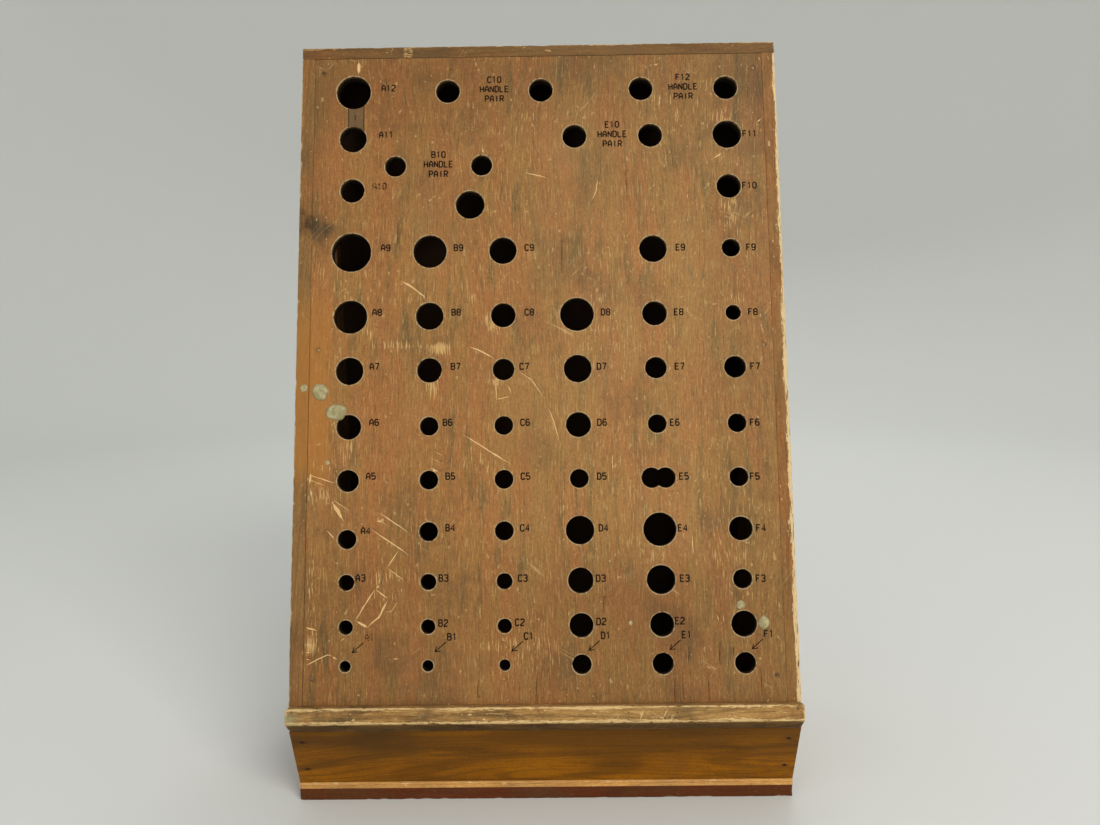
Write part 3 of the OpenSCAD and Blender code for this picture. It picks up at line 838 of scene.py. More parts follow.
# Strokes of the stamped letters on a 4 by 6 grid; strokes are parted by bars
LETTERS = {
    "A": "0,0 0,4 1.6,6 2.4,6 4,4 4,0|0,2.4 4,2.4",
    "B": "0,0 0,6 3,6 3.8,5 3.8,4 3,3.1 0,3.1|3,3.1 4,2.2 4,.9 3.1,0 0,0",
    "C": "4,4.8 3.2,6 .9,6 0,5 0,1 .9,0 3.2,0 4,1.2", "D": "0,0 0,6 2.8,6 4,4.7 4,1.3 2.8,0 0,0",
    "E": "3.8,0 0,0 0,6 3.8,6|0,3.1 3,3.1", "F": "0,0 0,6 3.8,6|0,3.1 3,3.1", "H": "0,0 0,6|4,0 4,6|0,3 4,3",
    "I": "2,0 2,6", "L": "0,6 0,0 3.7,0", "N": "0,0 0,6|0,6 4,0|4,0 4,6",
    "P": "0,0 0,6 3,6 4,5.1 4,3.7 3,2.8 0,2.8",
    "R": "0,0 0,6 3,6 4,5.1 4,3.7 3,2.8 0,2.8|2,2.8 4,0",
    "0": "1,0 3,0 4,1.2 4,4.8 3,6 1,6 0,4.8 0,1.2 1,0", "1": ".6,4.8 2,6 2,0",
    "2": "0,4.9 1,6 3,6 4,5 4,3.9 0,.8 0,0 4,0",
    "3": "0,5.2 .9,6 3.1,6 4,5 4,3.9 3.1,3.1 1.4,3.1|3.1,3.1 4,2.2 4,.9 3.1,0 .9,0 0,.8",
    "4": "3,0 3,6 0,1.8 4,1.8", "5": "3.8,6 .3,6 0,3.2 3,3.5 4,2.6 4,1 3,0 .9,0 0,.8",
    "6": "3.8,5.2 3,6 1,6 0,4.8 0,1.2 1,0 3,0 4,1 4,2.5 3,3.4 0,3.2", "7": "0,6 4,6 1.6,0",
    "8": "1,0 3,0 4,1 4,2.2 3,3.1 1,3.1 0,4 0,5.1 1,6 3,6 4,5.1 4,4 3,3.1|1,3.1 0,2.2 0,1 1,0",
    "9": ".2,.8 1,0 3,0 4,1.2 4,4.8 3,6 1,6 0,5 0,3.5 1,2.6 4,2.8",
}
# Clear wood between a hole's rim and its code, from row 3 up
CODE_GAPS = {"a": [2, 5, 8, 9, 7, 6, 11, 9, 14, 12], "b": [3, 8, 8, 5, 10, 9, 8], "c": [6, 7, 8, 8, 6, 10, 9],
             "d": [3, 5, 9, 7, 6, 8], "e": [5, 2, 4, 4, 9, 8, 10], "f": [4, 4, 2, 4, 5, 8, 7, 2, 2]}


def ink_bar(path, line, fade):
    """One stroke of ink along a path, so wide and so faded."""
    points, faces, _ = bar(path, line, INK_TOP, INK_FOOT)
    return points, faces, {"fade": np.full(len(points), fade)}


def stamp(text, x, up, fade, height=6.3, width=3.5, pitch=LETTER_PITCH, line=1.3):
    """A word as flat ink bars, centred at x and up."""
    parts = []
    for index, letter in enumerate(text):
        left = x + (index - (len(text) - 1) / 2) * pitch - width / 2
        for stroke in LETTERS[letter].split("|"):
            path = np.array([[float(v) for v in point.split(",")] for point in stroke.split()])
            parts.append(ink_bar(path * [width / 4, height / 6] + [left, up - height / 2], line, fade))
    return parts


def hole_at(name):
    """(x, up, radius) of a hole on the face."""
    mount = MOUNTS[name]
    x, y, z = np.array(mount["pos_m"]) / MM
    return x, (y - NOSE_Y) * SIN + (z - NOSE_Z) * COS, mount["dims"]["r_mm"]


def code_marks():
    """Hole codes, the arrows of the bottom row and the legends between pairs."""
    parts = []
    for column, gaps in CODE_GAPS.items():
        shift = 4.6 - 0.85 * "abcdef".index(column)
        for row, gap in enumerate(gaps, start=3):
            name = f"hole_{column}{row}"
            if name not in MOUNTS:
                name += "_right"
            x, up, radius = hole_at(name)
            up = up + shift + (4 if name == "hole_a4" else 0)
            text = name.split("_")[1].upper()
            fade = 0.85 if name == "hole_a10" else 0.07 * ((row * 7 + len(gaps) * 3) % 4)
            parts += stamp(text, x + radius + gap + LETTER_PITCH * len(text) / 2 - 0.9, up, fade)
        x, up, _ = hole_at(f"hole_{column}1")
        parts += stamp(column.upper() + "1", x + 24, up + 28, 0.95 if column == "a" else 0.1)
        tip = (x + 7, up + 13.5)
        for path in ([(x + 18, up + 23), tip], [(x + 12.5, up + 14.3), tip, (x + 8.8, up + 18.6)]):
            parts.append(ink_bar(path, 1.0, 0.2))
        if column not in "af":
            x, up, radius = hole_at(f"hole_{column}2")
            parts += stamp(column.upper() + "2", x + radius + (5.7 if column == "e" else 8), up + 3.5, 0.15)
    for code in ("b10", "c10", "e10", "f12"):
        left, right = hole_at(f"hole_{code}_left"), hole_at(f"hole_{code}_right")
        middle, up = (left[0] + right[0]) / 2, left[1] + 12.5
        for drop, text in enumerate((code.upper(), "HANDLE", "PAIR")):
            parts += stamp(text, middle, up - LINE_DROP * drop, 0.1 * drop)
    return parts


def nail_spots(node, to_face):
    """Centres of a nail node's heads, in a board's own x and up: its points nearest the surface,
    gathered into clusters."""
    spots = to_face(node_points(node))
    spots = spots[spots[:, 2] > spots[:, 2].max() - 0.2]
    found = []
    while len(spots):
        near = np.linalg.norm(spots[:, :2] - spots[0, :2], axis=1) < 6
        found.append((spots[near, :2].min(axis=0) + spots[near, :2].max(axis=0)) / 2)
        spots = spots[~near]
    return found


def nail_pits(node, to_face):
    """A nail node's sunk heads, as blind holes of a drilled board."""
    return [([tuple(spot)], PIT_RADIUS, 0.0) for spot in nail_spots(node, to_face)]


def apron_frame():
    """The apron's foot, its rise along the slope and its slope: its foot is its foremost point at
    its lowest height, and its top is its foremost point of all."""
    points = node_points("apron")
    foot = points[points[:, 2] < APRON_LOW[2] + 0.1, 1].min()
    rise = APRON_HIGH[2] - APRON_LOW[2]
    return foot, math.hypot(rise, foot - APRON_LOW[1]), math.atan2(foot - APRON_LOW[1], rise)


APRON_FOOT, APRON_UP, APRON_LEAN = apron_frame()
APRON_T = (APRON_HIGH[1] - APRON_FOOT) * math.cos(APRON_LEAN)


def apron_to_world(x, up, out):
    """Apron coordinates to the part's own: the apron leans forward from its foot."""
    c, s = math.cos(APRON_LEAN), math.sin(APRON_LEAN)
    return np.stack([x + 0 * up, APRON_FOOT - up * s - out * c, APRON_LOW[2] + up * c - out * s], -1)


def world_to_apron(points):
    """x, up and out of points of the part, on the apron."""
    c, s = math.cos(APRON_LEAN), math.sin(APRON_LEAN)
    y, z = points[:, 1] - APRON_FOOT, points[:, 2] - APRON_LOW[2]
    return np.stack([points[:, 0], z * c - y * s, -y * c - z * s], -1)


def nail(x, up, head, shank, length, lift=0.12):
    """Nail in a board's own coordinates: a low dome, the head's side, the shank and a blunt end,
    as rings turned round the nail's axis."""
    radii = np.array([0.3, 0.75, 1.0, 1.0, shank / head, shank / head, 0.3]) * head
    heights = np.array([lift, lift * 0.7, -0.05, -1.4, -1.5, 1 - length, -length])
    rings, around = len(radii), 14
    turn = np.linspace(0, 2 * math.pi, around, endpoint=False)
    points = np.stack([x + radii[:, None] * np.cos(turn), up + radii[:, None] * np.sin(turn),
                       np.broadcast_to(heights[:, None], (rings, around))], -1).reshape(-1, 3)
    faces = grid_faces(rings, around, closed=True)
    faces += [list(range(around))[::-1], list(range(len(points) - around, len(points)))]
    return points, faces, {}


def look(context):
    """The stand's settings."""
    return context.scene.tool_stand


# ---------------------------------------------------------------- settings

class StandSettings(bpy.types.PropertyGroup):
    """Sizes and colours of the stand's finishes."""

    chip_depth: FloatProperty(name="Chip depth", description="Depth of the dents along the boards' arrises",
                              default=0.5 * MM, min=0, unit="LENGTH")
    arris: FloatProperty(name="Arris", description="Radius of the boards' worn outer arrises",
                         default=1.5 * MM, min=0, unit="LENGTH")
    field_step: FloatProperty(name="Mesh step", description="Spacing of the face's mesh points",
                              default=5 * MM, min=0, unit="LENGTH")
    face_base: FloatVectorProperty(name="Face", description="Main colour of the face", size=3,
                                   default=rgb(152, 107, 57)[:3], subtype="COLOR")
    face_warm: FloatVectorProperty(name="Face, warm", description="Redder colour of the face", size=3,
                                   default=rgb(155, 102, 55)[:3], subtype="COLOR")
    face_dark: FloatVectorProperty(name="Face streaks", description="Olive streaks of the face", size=3,
                                   default=rgb(106, 86, 50)[:3], subtype="COLOR")
    face_pale: FloatVectorProperty(name="Face flecks", description="Pale flecks of the face", size=3,
                                   default=rgb(190, 152, 94)[:3], subtype="COLOR")
    bare: FloatVectorProperty(name="Bare wood", description="Wood bared by scratches and wear", size=3,
                              default=rgb(216, 177, 121)[:3], subtype="COLOR")
    ink: FloatVectorProperty(name="Ink", description="Ink of the stamped codes", size=3,
                             default=rgb(20, 15, 11)[:3], subtype="COLOR")


class StageSettings(bpy.types.PropertyGroup):
    """The floor, the lights and the camera."""

    floor: FloatVectorProperty(name="Floor", description="Colour of the floor and the backdrop", size=3,
                               default=rgb(216, 217, 212)[:3], subtype="COLOR")
    key: FloatProperty(name="Key light", description="Strength of the light above and to the right",
                       default=86, min=0, unit="POWER")
    fill: FloatProperty(name="Fill light", description="Strength of the light from the left",
                        default=12, min=0, unit="POWER")
    sky: FloatProperty(name="Sky", description="Strength of the light from all round", default=0.51, min=0)
    lens: FloatProperty(name="Lens", description="Focal length on a 36 mm wide sensor", default=27.03,
                        min=1, unit="CAMERA")
    away: FloatVectorProperty(name="Camera", description="Place of the camera", size=3,
                              default=(0.0148, -0.8822, 0.5102), subtype="TRANSLATION", unit="LENGTH")
    turn: FloatVectorProperty(name="Camera turn", description="Yaw, pitch down and roll of the camera",
                              size=3, default=tuple(math.radians(v) for v in (-0.413, 7.793, 0.724)),
                              subtype="EULER", unit="ROTATION")


# ---------------------------------------------------------------- operators

def face_material(settings):
    """The face's finish: grain and dirt, a lighter, cooler tone towards the right, darker margins,
    stains, scuffs, rubbed ticks, joints, cracks, bare scratches, and the cut wood of the holes' rims
    and walls, with painted shade deeper in the bores, in the nail pits and on the face's back."""
    finish = Finish("worn_face", LEANING)
    tree = finish.tree
    grain = finish.group("wood_grain", Base=(*settings.face_base, 1), Warm=(*settings.face_warm, 1),
                         Dark=(*settings.face_dark, 1), Pale=(*settings.face_pale, 1),
                         Streaks=0.74, Flecks=0.75, Lines=0.0)
    dirty = finish.group("grime", Color=grain.outputs["Color"], Dirt=0.4, Bleach=0.2).outputs["Color"]
    # tone makes the face lighter and cooler towards the right; soil makes it darker towards its top, bottom
    # and outer sides
    brighter_cooler = blend(tree, 1.0, dirty, (1.05, 1.13, 1.2, 1), "MULTIPLY")
    colour = tint(tree, dirty, tone=brighter_cooler)
    dim = blend(tree, 1.0, colour, (0.72, 0.7, 0.68, 1), "MULTIPLY")
    colour = tint(tree, colour, soil=dim, amber=AMBER, smudge=rgb(75, 59, 38), stain=rgb(52, 36, 25))
    scuff = finish.group("scuffs", Amount=0.7).outputs["Mask"]
    colour = blend(tree, scuff, colour, rgb(184, 150, 100))
    patchy = cloud(tree, finish.place, 300.0, 2.0, 0.6)
    rim = calc(tree, "MULTIPLY", step_mask(tree, attribute(tree, "rim"), 1.35, 0.6),
               step_mask(tree, patchy, 0.36, 0.55))
    colour = blend(tree, calc(tree, "MULTIPLY", rim, 0.8), colour, rgb(182, 162, 124))
    rubbed = calc(tree, "MULTIPLY", attribute(tree, "rubbed"), 0.34)
    ticks = calc(tree, "ADD", grain.outputs["Fleck"], rubbed)
    colour = blend(tree, step_mask(tree, ticks, 0.68, 0.8), colour, rgb(191, 154, 98))
    colour = tint(tree, colour, joint=rgb(52, 34, 21))
    colour = blend(tree, step_mask(tree, attribute(tree, "crack"), 0.05, 0.6), colour, rgb(50, 32, 20))
    broken = calc(tree, "MULTIPLY", patchy, 0.5)
    bare = step_mask(tree, calc(tree, "ADD", attribute(tree, "bare"), broken), 0.31, 0.52)
    colour = blend(tree, bare, colour, (*settings.bare, 1))
    wall = attribute(tree, "wall")
    fibre = step_mask(tree, patchy, 0.4, 0.6)
    cut = blend(tree, fibre, rgb(74, 56, 36), rgb(118, 94, 62))
    colour = blend(tree, step_mask(tree, wall, 0.02, 0.3), colour, cut)
    # Painted shade: deeper in the bores and nail pits, and on the face's back, the colour goes almost black
    colour = blend(tree, step_mask(tree, wall, 0.5, 0.95), colour, rgb(34, 25, 17))
    return finish.finish(colour, 0.42, 0.72, calc(tree, "MAXIMUM", bare, grain.outputs["Height"]),
                         grain.outputs["Height"], 0.5, specular=0.16)


def face_holes():
    """The face's holes as (circles, radius, torn), with bores that overlap joined into one."""
    bores = [name for name in sorted(MOUNTS) if MOUNTS[name]["kind"] == "bore"]
    holes, seen = [], set()
    for name in bores:
        if name in seen:
            continue
        x, up, radius = hole_at(name)
        circles = [(x, up)]
        for other in bores:
            x2, up2, radius2 = hole_at(other)
            if other != name and math.hypot(x2 - x, up2 - up) < radius + radius2:
                circles.append((x2, up2))
                seen.add(other)
        holes.append((sorted(circles), radius, TORN.get(name, 0.0)))
    return holes


def face_weathering(x, up, out):
    """Where the face is lighter and cooler towards the right, darker towards its top, its bottom and its
    outer sides, smudged, varnished, rubbed or dark along its joints: sums of bells and of smooth steps
    along x and up, kept to the front."""
    front = ease(out + 1.5)
    spots = np.stack([x, up], -1)
    amber = 0.75 * ease((-213 - x) / 10) * ease((up - 205) / 30) * ease((435 - up) / 50)
    amber = amber * (0.75 + 0.25 * noise(spots * [1, 0.15], 4, 3))
    smudge = 1.1 * bell(x, up, -238, 488, 18, 20) * (0.8 + 1.2 * noise(spots, 8, 4))
    smudge += 0.45 * bell(x, up, 232, 640, 26, 42) + 0.22 * bell(x, up, -245, 640, 26, 60)
    # Darker towards the top, towards the bottom, on the right below the top, and at the outer sides near the
    # top
    soil = 0.95 * ease((up - 545) / 120) + 0.42 * ease((up - 440) / 100) * ease((700 - up) / 240)
    soil += 0.5 * ease((x - 150) / 50) * ease((560 - up) / 120)
    soil = np.maximum(soil, 0.8 * ease((190 - up) / 90) * (1 - 0.6 * np.exp(-(((x + 75) / 75) ** 2))))
    soil += 0.5 * ease((np.abs(x) - 222) / 16) * ease((up - 500) / 100)
    plain = np.where(x < 0, 0.3 + 0.7 * ease((430 - up) / 60), 0.12)
    joint = np.maximum(ease((np.abs(x) - IN_X + 0.6) / 0.25) * plain,
                       0.9 * ease((up - FACE_UP + 0.6) / 0.25))
    # tone: lighter and cooler towards the right, less so near the bottom
    return {"amber": front * amber, "smudge": front * np.clip(smudge, 0, 1),
            "rubbed": front * rubbed_at(x, up), "soil": np.clip(soil, 0, 1), "joint": joint,
            "tone": front * (ease((x + 130) / 200) - 0.3 * ease((140 - up) / 60)).clip(0)}


class TOOLSTAND_OT_face(bpy.types.Operator):
    """Adds the drilled face with its worn holes, scratches and nail pits"""

    bl_idname = "toolstand.face"
    bl_label = "Drilled Face"

    def execute(self, context):
        settings = look(context)
        grooves = [Groove(path, width, seed=k) for k, (path, width) in enumerate(SCRATCHES)]
        grooves += [Groove([(x, low), (x + drift, high)], width, 0.8, k + 80, "crack")
                    for k, (x, low, high, drift, width) in enumerate(CRACKS)]
        slope = math.tan(LEAN)
        points, faces, values = drilled_board(
            IN_X, FACE_UP, FACE_T, face_holes(), nail_pits("face_nails", world_to_face), grooves,
            settings.field_step / MM, lambda up: slope * np.clip((up - FACE_UP + 12) / 11.5, 0, 1),
            0.7, 11, (2.0, 2.0))
        x, up, out = points.T
        values.update(face_weathering(x, up, out))
        part = (face_to_world(x, up, out), faces, values)
        make_piece("drilled_face", [part], face_material(settings), ["face_panel"])
        return {"FINISHED"}


class TOOLSTAND_OT_sides(bpy.types.Operator):
    """Adds the two side boards"""

    bl_idname = "toolstand.sides"
    bl_label = "Side Boards"

    def execute(self, context):
        settings = look(context)
        material = board_finish("side_board", (132, 95, 51), (137, 91, 46), (92, 69, 37), (172, 136, 82),
                                LEANING, (0.4, 0, 0), streaks=0.7, flecks=0.55, lines=0.35, dirt=0.45,
                                reach=1.5, amount=0.66, bare=(195, 161, 105), scuffs=0.4, specular=0.2)
        barer = board_finish("right_board", (139, 98, 52), (143, 93, 46), (96, 70, 36), (175, 138, 82),
                             LEANING, (0.4, 0, 0.9), streaks=0.6, flecks=0.5, lines=0.35, dirt=0.3,
                             reach=2.6, amount=1.0, bare=(222, 194, 144), scuffs=0.4, specular=0.2)
        profile = [(APRON_HIGH[1], SIDE_LOW[2]), (APRON_LOW[1] + APRON_HIGH[1] - APRON_FOOT, RAIL_LOW[2]),
                   (NOSE_Y + RAIL_IN * COS, RAIL_LOW[2]), (NOSE_Y + RAIL_IN * COS, NOSE_Z - RAIL_IN * SIN),
                   (NOSE_Y, NOSE_Z), (face_y(UNDER_TOP, 0), UNDER_TOP), (BACK_LOW[1], UNDER_TOP),
                   (BACK_LOW[1], SIDE_LOW[2])]
        outer, chips = settings.arris / MM, settings.chip_depth / MM
        for name, x0, x1, ends, wood in (("left_side", -HALF, -IN_X, (outer, 0.4), material),
                                         ("right_side", IN_X, HALF, (0.4, outer), barer)):
            part = prism(profile, [0.3] * 8, x0, x1, ends, step=3.5, chips=chips, seed=len(name), cap=4.0)
            points, _, values = part
            _, up, out = world_to_face(points).T
            values["edge"] = values["edge"] + 1.6 * ease((-out - 3) / 6)
            if name == "right_side":
                values["edge"] += 1.4 * ease((points[:, 2] - 420) / 160)
            else:
                front = out > -12
                blot = np.exp(-(((up - 496) / 15) ** 2)) * (0.8 + noise(points, 5, 6))
                values["shade"] = np.clip(0.75 * blot, 0, 0.8) * front
                values["amber"] = 0.6 * ease((up - 205) / 40) * ease((435 - up) / 60) * front
            make_piece(name + "_board", [part], wood, [name])
        return {"FINISHED"}


class TOOLSTAND_OT_top(bpy.types.Operator):
    """Adds the top board"""

    bl_idname = "toolstand.top"
    bl_label = "Top Board"

    def execute(self, context):
        settings = look(context)
        material = board_finish("top_board", (113, 80, 41), (120, 77, 38), (82, 59, 30), (152, 116, 68),
                                ALONG_X, (0, 0, 0.7), streaks=0.6, flecks=0.35, lines=0.3, dirt=0.5,
                                reach=1.5, amount=0.6, bare=(200, 160, 102), specular=0.2)
        height = TOP_HIGH[2]
        profile = [(face_y(UNDER_TOP, 0), UNDER_TOP), (face_y(height, 0), height),
                   (TOP_HIGH[1], height), (TOP_HIGH[1], UNDER_TOP)]
        part = prism(profile, [0.4, 1.2, 1.2, 0.4], -HALF, HALF, (1.2, 1.2), step=3.5,
                     chips=settings.chip_depth / MM, seed=21)
        x, y, z = part[0].T
        scrape = np.exp(-(((x + 140) / 6) ** 2)) + ease((-228 - x) / 8) * (z > height - 4)
        part[2]["chip"] = np.maximum(part[2]["chip"], 1.2 * scrape * (y < face_y(height, 3)))
        make_piece("top_board_worn", [part], material, ["top_board"])
        return {"FINISHED"}


class TOOLSTAND_OT_rail(bpy.types.Operator):
    """Adds the bare nose rail with its splintered lower arris"""

    bl_idname = "toolstand.rail"
    bl_label = "Nose Rail"

    def execute(self, context):
        material = board_finish("nose_rail", (170, 128, 73), (160, 118, 66), (94, 70, 40), (208, 172, 114),
                                ALONG_X, (0, 0, 0.3), streaks=1.0, flecks=1.0, lines=0.45, dirt=0.8,
                                bleach=0.55, reach=1.8, amount=0.86, bare=(222, 188, 130), rough=(0.7, 0.9),
                                bump=1.0, scuffs=0.7, specular=0.15)
        profile = [(NOSE_Y - RAIL_OUT * COS, RAIL_HIGH[2]),
                   (RAIL_LOW[1], RAIL_HIGH[2] - RAIL_FRONT * COS), (APRON_LOW[1], RAIL_LOW[2]),
                   (NOSE_Y + RAIL_IN * COS, RAIL_LOW[2]), (NOSE_Y + RAIL_IN * COS, NOSE_Z - RAIL_IN * SIN)]
        part = prism(profile, [1.4, 1.2, 0.4, 0.4, 0.4], -HALF, HALF, (1.4, 1.4), step=2.4,
                     chips=1.2, seed=31, chip_size=5.5)
        points, _, values = part
        x, y, z = points.T
        # Painted shade on the rail's underside bevel below its front face; the front is also a little darker
        # towards its left end
        values["shade"] = 0.72 * ease((RAIL_HIGH[2] - RAIL_FRONT * COS - 1.0 - z) / 2.5) * (y < NOSE_Y)
        values["shade"] += 0.1 * ease((-60 - x) / 150) * (z > RAIL_HIGH[2] - RAIL_FRONT)
        smear = 0.8 * bell(x, z, 4 - HALF, RAIL_HIGH[2] - 9, 9, 7)
        values["smear"] = smear * (0.7 + 0.5 * noise(points, 4, 9)).clip(0, 1)
        make_piece("nose_rail_worn", [part], material, ["nose_rail"])
        return {"FINISHED"}


def apron_material():
    """Amber varnish over a flowing figure: the sine of a slow cloud drawn out along the grain."""
    finish = Finish("varnished_apron", ALONG_X, (0, 0, 1.3))
    tree = finish.tree
    grain = finish.group("wood_grain", Base=rgb(144, 88, 8), Warm=rgb(158, 97, 6), Dark=rgb(90, 56, 11),
                         Pale=rgb(164, 109, 30), Streaks=0.55, Flecks=0.2, Lines=0.4)
    dirty = finish.group("grime", Color=grain.outputs["Color"], Dirt=0.4, Bleach=0.08)
    swirl = cloud(tree, stretch(tree, finish.place, (11, 11, 1.3)), 1.0, 2.0, 0.5)
    figure = calc(tree, "SINE", calc(tree, "MULTIPLY", swirl, 62.0))
    figure = calc(tree, "MULTIPLY", step_mask(tree, figure, -0.2, 1.0), 0.5)
    colour = blend(tree, figure, dirty.outputs["Color"], rgb(94, 58, 13))
    # shade is painted shadow of the nose rail mixed with dirt, darker towards the apron's top; wall paints
    # shade in the nail pits and on the apron's back
    colour = tint(tree, colour, shade=rgb(78, 52, 20), stain=rgb(54, 31, 15), wall=rgb(40, 24, 13))
    return finish.finish(colour, 0.32, 0.5, dirty.outputs["Mask"], grain.outputs["Height"], 0.2,
                         specular=0.07)


class TOOLSTAND_OT_apron(bpy.types.Operator):
    """Adds the varnished apron with its four nail pits"""

    bl_idname = "toolstand.apron"
    bl_label = "Apron"

    def execute(self, context):
        points, faces, values = drilled_board(
            HALF, APRON_UP, APRON_T, [], nail_pits("apron_nails", world_to_apron), [], 6.0,
            lambda up: 0 * up - math.tan(APRON_LEAN), 0.6, 41, (3.4, 1.5))
        x, up, out = points.T
        cloudy = 0.5 + 0.5 * noise(np.stack([x / 4, up], -1), 14, 42)
        # Painted shadow of the nose rail, mixed with dirt, darkens the apron towards its top; it is also a
        # little darker towards its left
        values["shade"] = 0.85 * ease((up - 12) / 52) * (0.5 + 0.5 * cloudy)
        values["shade"] += 0.2 * cloudy * ease(-x / 120)
        part = (apron_to_world(x, up, out), faces, values)
        make_piece("apron_board", [part], apron_material(), ["apron"])
        return {"FINISHED"}


def box_section(low, high):
    """The cross-section (depth, height) of a box, round from its bottom front corner."""
    return [(low[1], low[2]), (low[1], high[2]), (high[1], high[2]), (high[1], low[2])]


class TOOLSTAND_OT_base(bpy.types.Operator):
    """Adds the painted base board and the floor panel with its rounded, grooved edge"""

    bl_idname = "toolstand.base"
    bl_label = "Base and Floor"

    def execute(self, context):
        chips = look(context).chip_depth / MM
        paint = board_finish("base_paint", (88, 44, 9), (92, 40, 8), (60, 32, 9), (112, 68, 24),
                             ALONG_X, (0, 0, 2.1), streaks=0.4, flecks=0.3, lines=0.1, dirt=0.5,
                             bleach=0.1, reach=0.9, amount=0.36, bare=(134, 89, 52), rough=(0.5, 0.7),
                             bump=0.35, scuffs=0.35, specular=0.2)
        part = prism(box_section(BASE_LOW, BASE_HIGH), [1.0, 0.4, 0.4, 1.0], -HALF, HALF, (1.0, 1.0),
                     step=3.5, chips=chips, seed=51)
        make_piece("base_board_painted", [part], paint, ["base_board"])
        strip = board_finish("floor_strip", (204, 152, 84), (212, 156, 84), (140, 92, 44), (232, 190, 122),
                             ALONG_X, (0, 0, 3.0), streaks=0.5, flecks=0.4, lines=0.2, dirt=0.35, bleach=0.2,
                             reach=0.6, amount=0.4, bare=(236, 200, 142), rough=(0.4, 0.6), bump=0.3)
        y0, low, high = BASE_LOW[1], FLOOR_LOW[2], FLOOR_HIGH[2]
        groove = low + 0.55 * (high - low)
        profile = [(y0, low), (y0, groove - 0.6), (y0 + 1.0, groove), (y0, groove + 0.5), (y0, high),
                   (FLOOR_HIGH[1], high), (FLOOR_HIGH[1], low)]
        part = prism(profile, [0.45, 0.15, 0.1, 0.15, 1.2, 0.3, 0.3], -HALF, HALF, (1.0, 1.0), step=3.5,
                     chips=0.4 * chips, seed=61, cap=0.8)
        make_piece("floor_panel_edge", [part], strip, ["floor_panel"])
        return {"FINISHED"}


class TOOLSTAND_OT_back(bpy.types.Operator):
    """Adds the back panel and the four cleats inside"""

    bl_idname = "toolstand.back"
    bl_label = "Back and Cleats"

    def execute(self, context):
        chips = look(context).chip_depth / MM
        plain = board_finish("back_panel", (134, 100, 59), (139, 98, 55), (100, 73, 43), (168, 134, 88),
                             shift=(0.2, 0, 4.0), streaks=0.35, flecks=0.4, lines=0.75, dirt=0.45, bleach=0.3,
                             reach=1.0, amount=0.42, bare=(184, 154, 107), rough=(0.6, 0.8))
        part = prism(box_section(BACK_LOW, BACK_HIGH), [0.4, 0.4, 0.6, 0.6], -HALF, HALF, (0.8, 0.8),
                     step=6, chips=0.6 * chips, seed=71, cap=0.8)
        # Painted shade: the back panel's inside face is darkened almost to black
        part[2]["shade"] = 0.97 * (part[0][:, 1] < BACK_LOW[1] + 1.0)
        make_piece("back_panel_ply", [part], plain, ["back_panel"])
        rough = board_finish("cleat", (130, 98, 61), (134, 95, 55), (98, 71, 43), (161, 127, 82),
                             LEANING, (1.2, 0, 5.0), streaks=0.6, flecks=0.4, lines=0.3, dirt=0.5)
        slanted = [(NOSE_Y + FACE_T * COS, NOSE_Z - FACE_T * SIN),
                   (NOSE_Y + (FACE_T + CLEAT) * COS, NOSE_Z - (FACE_T + CLEAT) * SIN),
                   (face_y(UNDER_TOP, FACE_T + CLEAT), UNDER_TOP), (face_y(UNDER_TOP, FACE_T), UNDER_TOP)]
        for node in ("left_face_cleat", "right_face_cleat", "left_floor_cleat", "right_floor_cleat"):
            low, high = box_mm(node)
            profile = slanted if "face" in node else box_section(low, high)
            part = prism(profile, [0.9] * 4, low[0], high[0], (0.9, 0.9), step=7, chips=0.5, seed=81)
            make_piece(node + "_strip", [part], rough, [node])
        return {"FINISHED"}


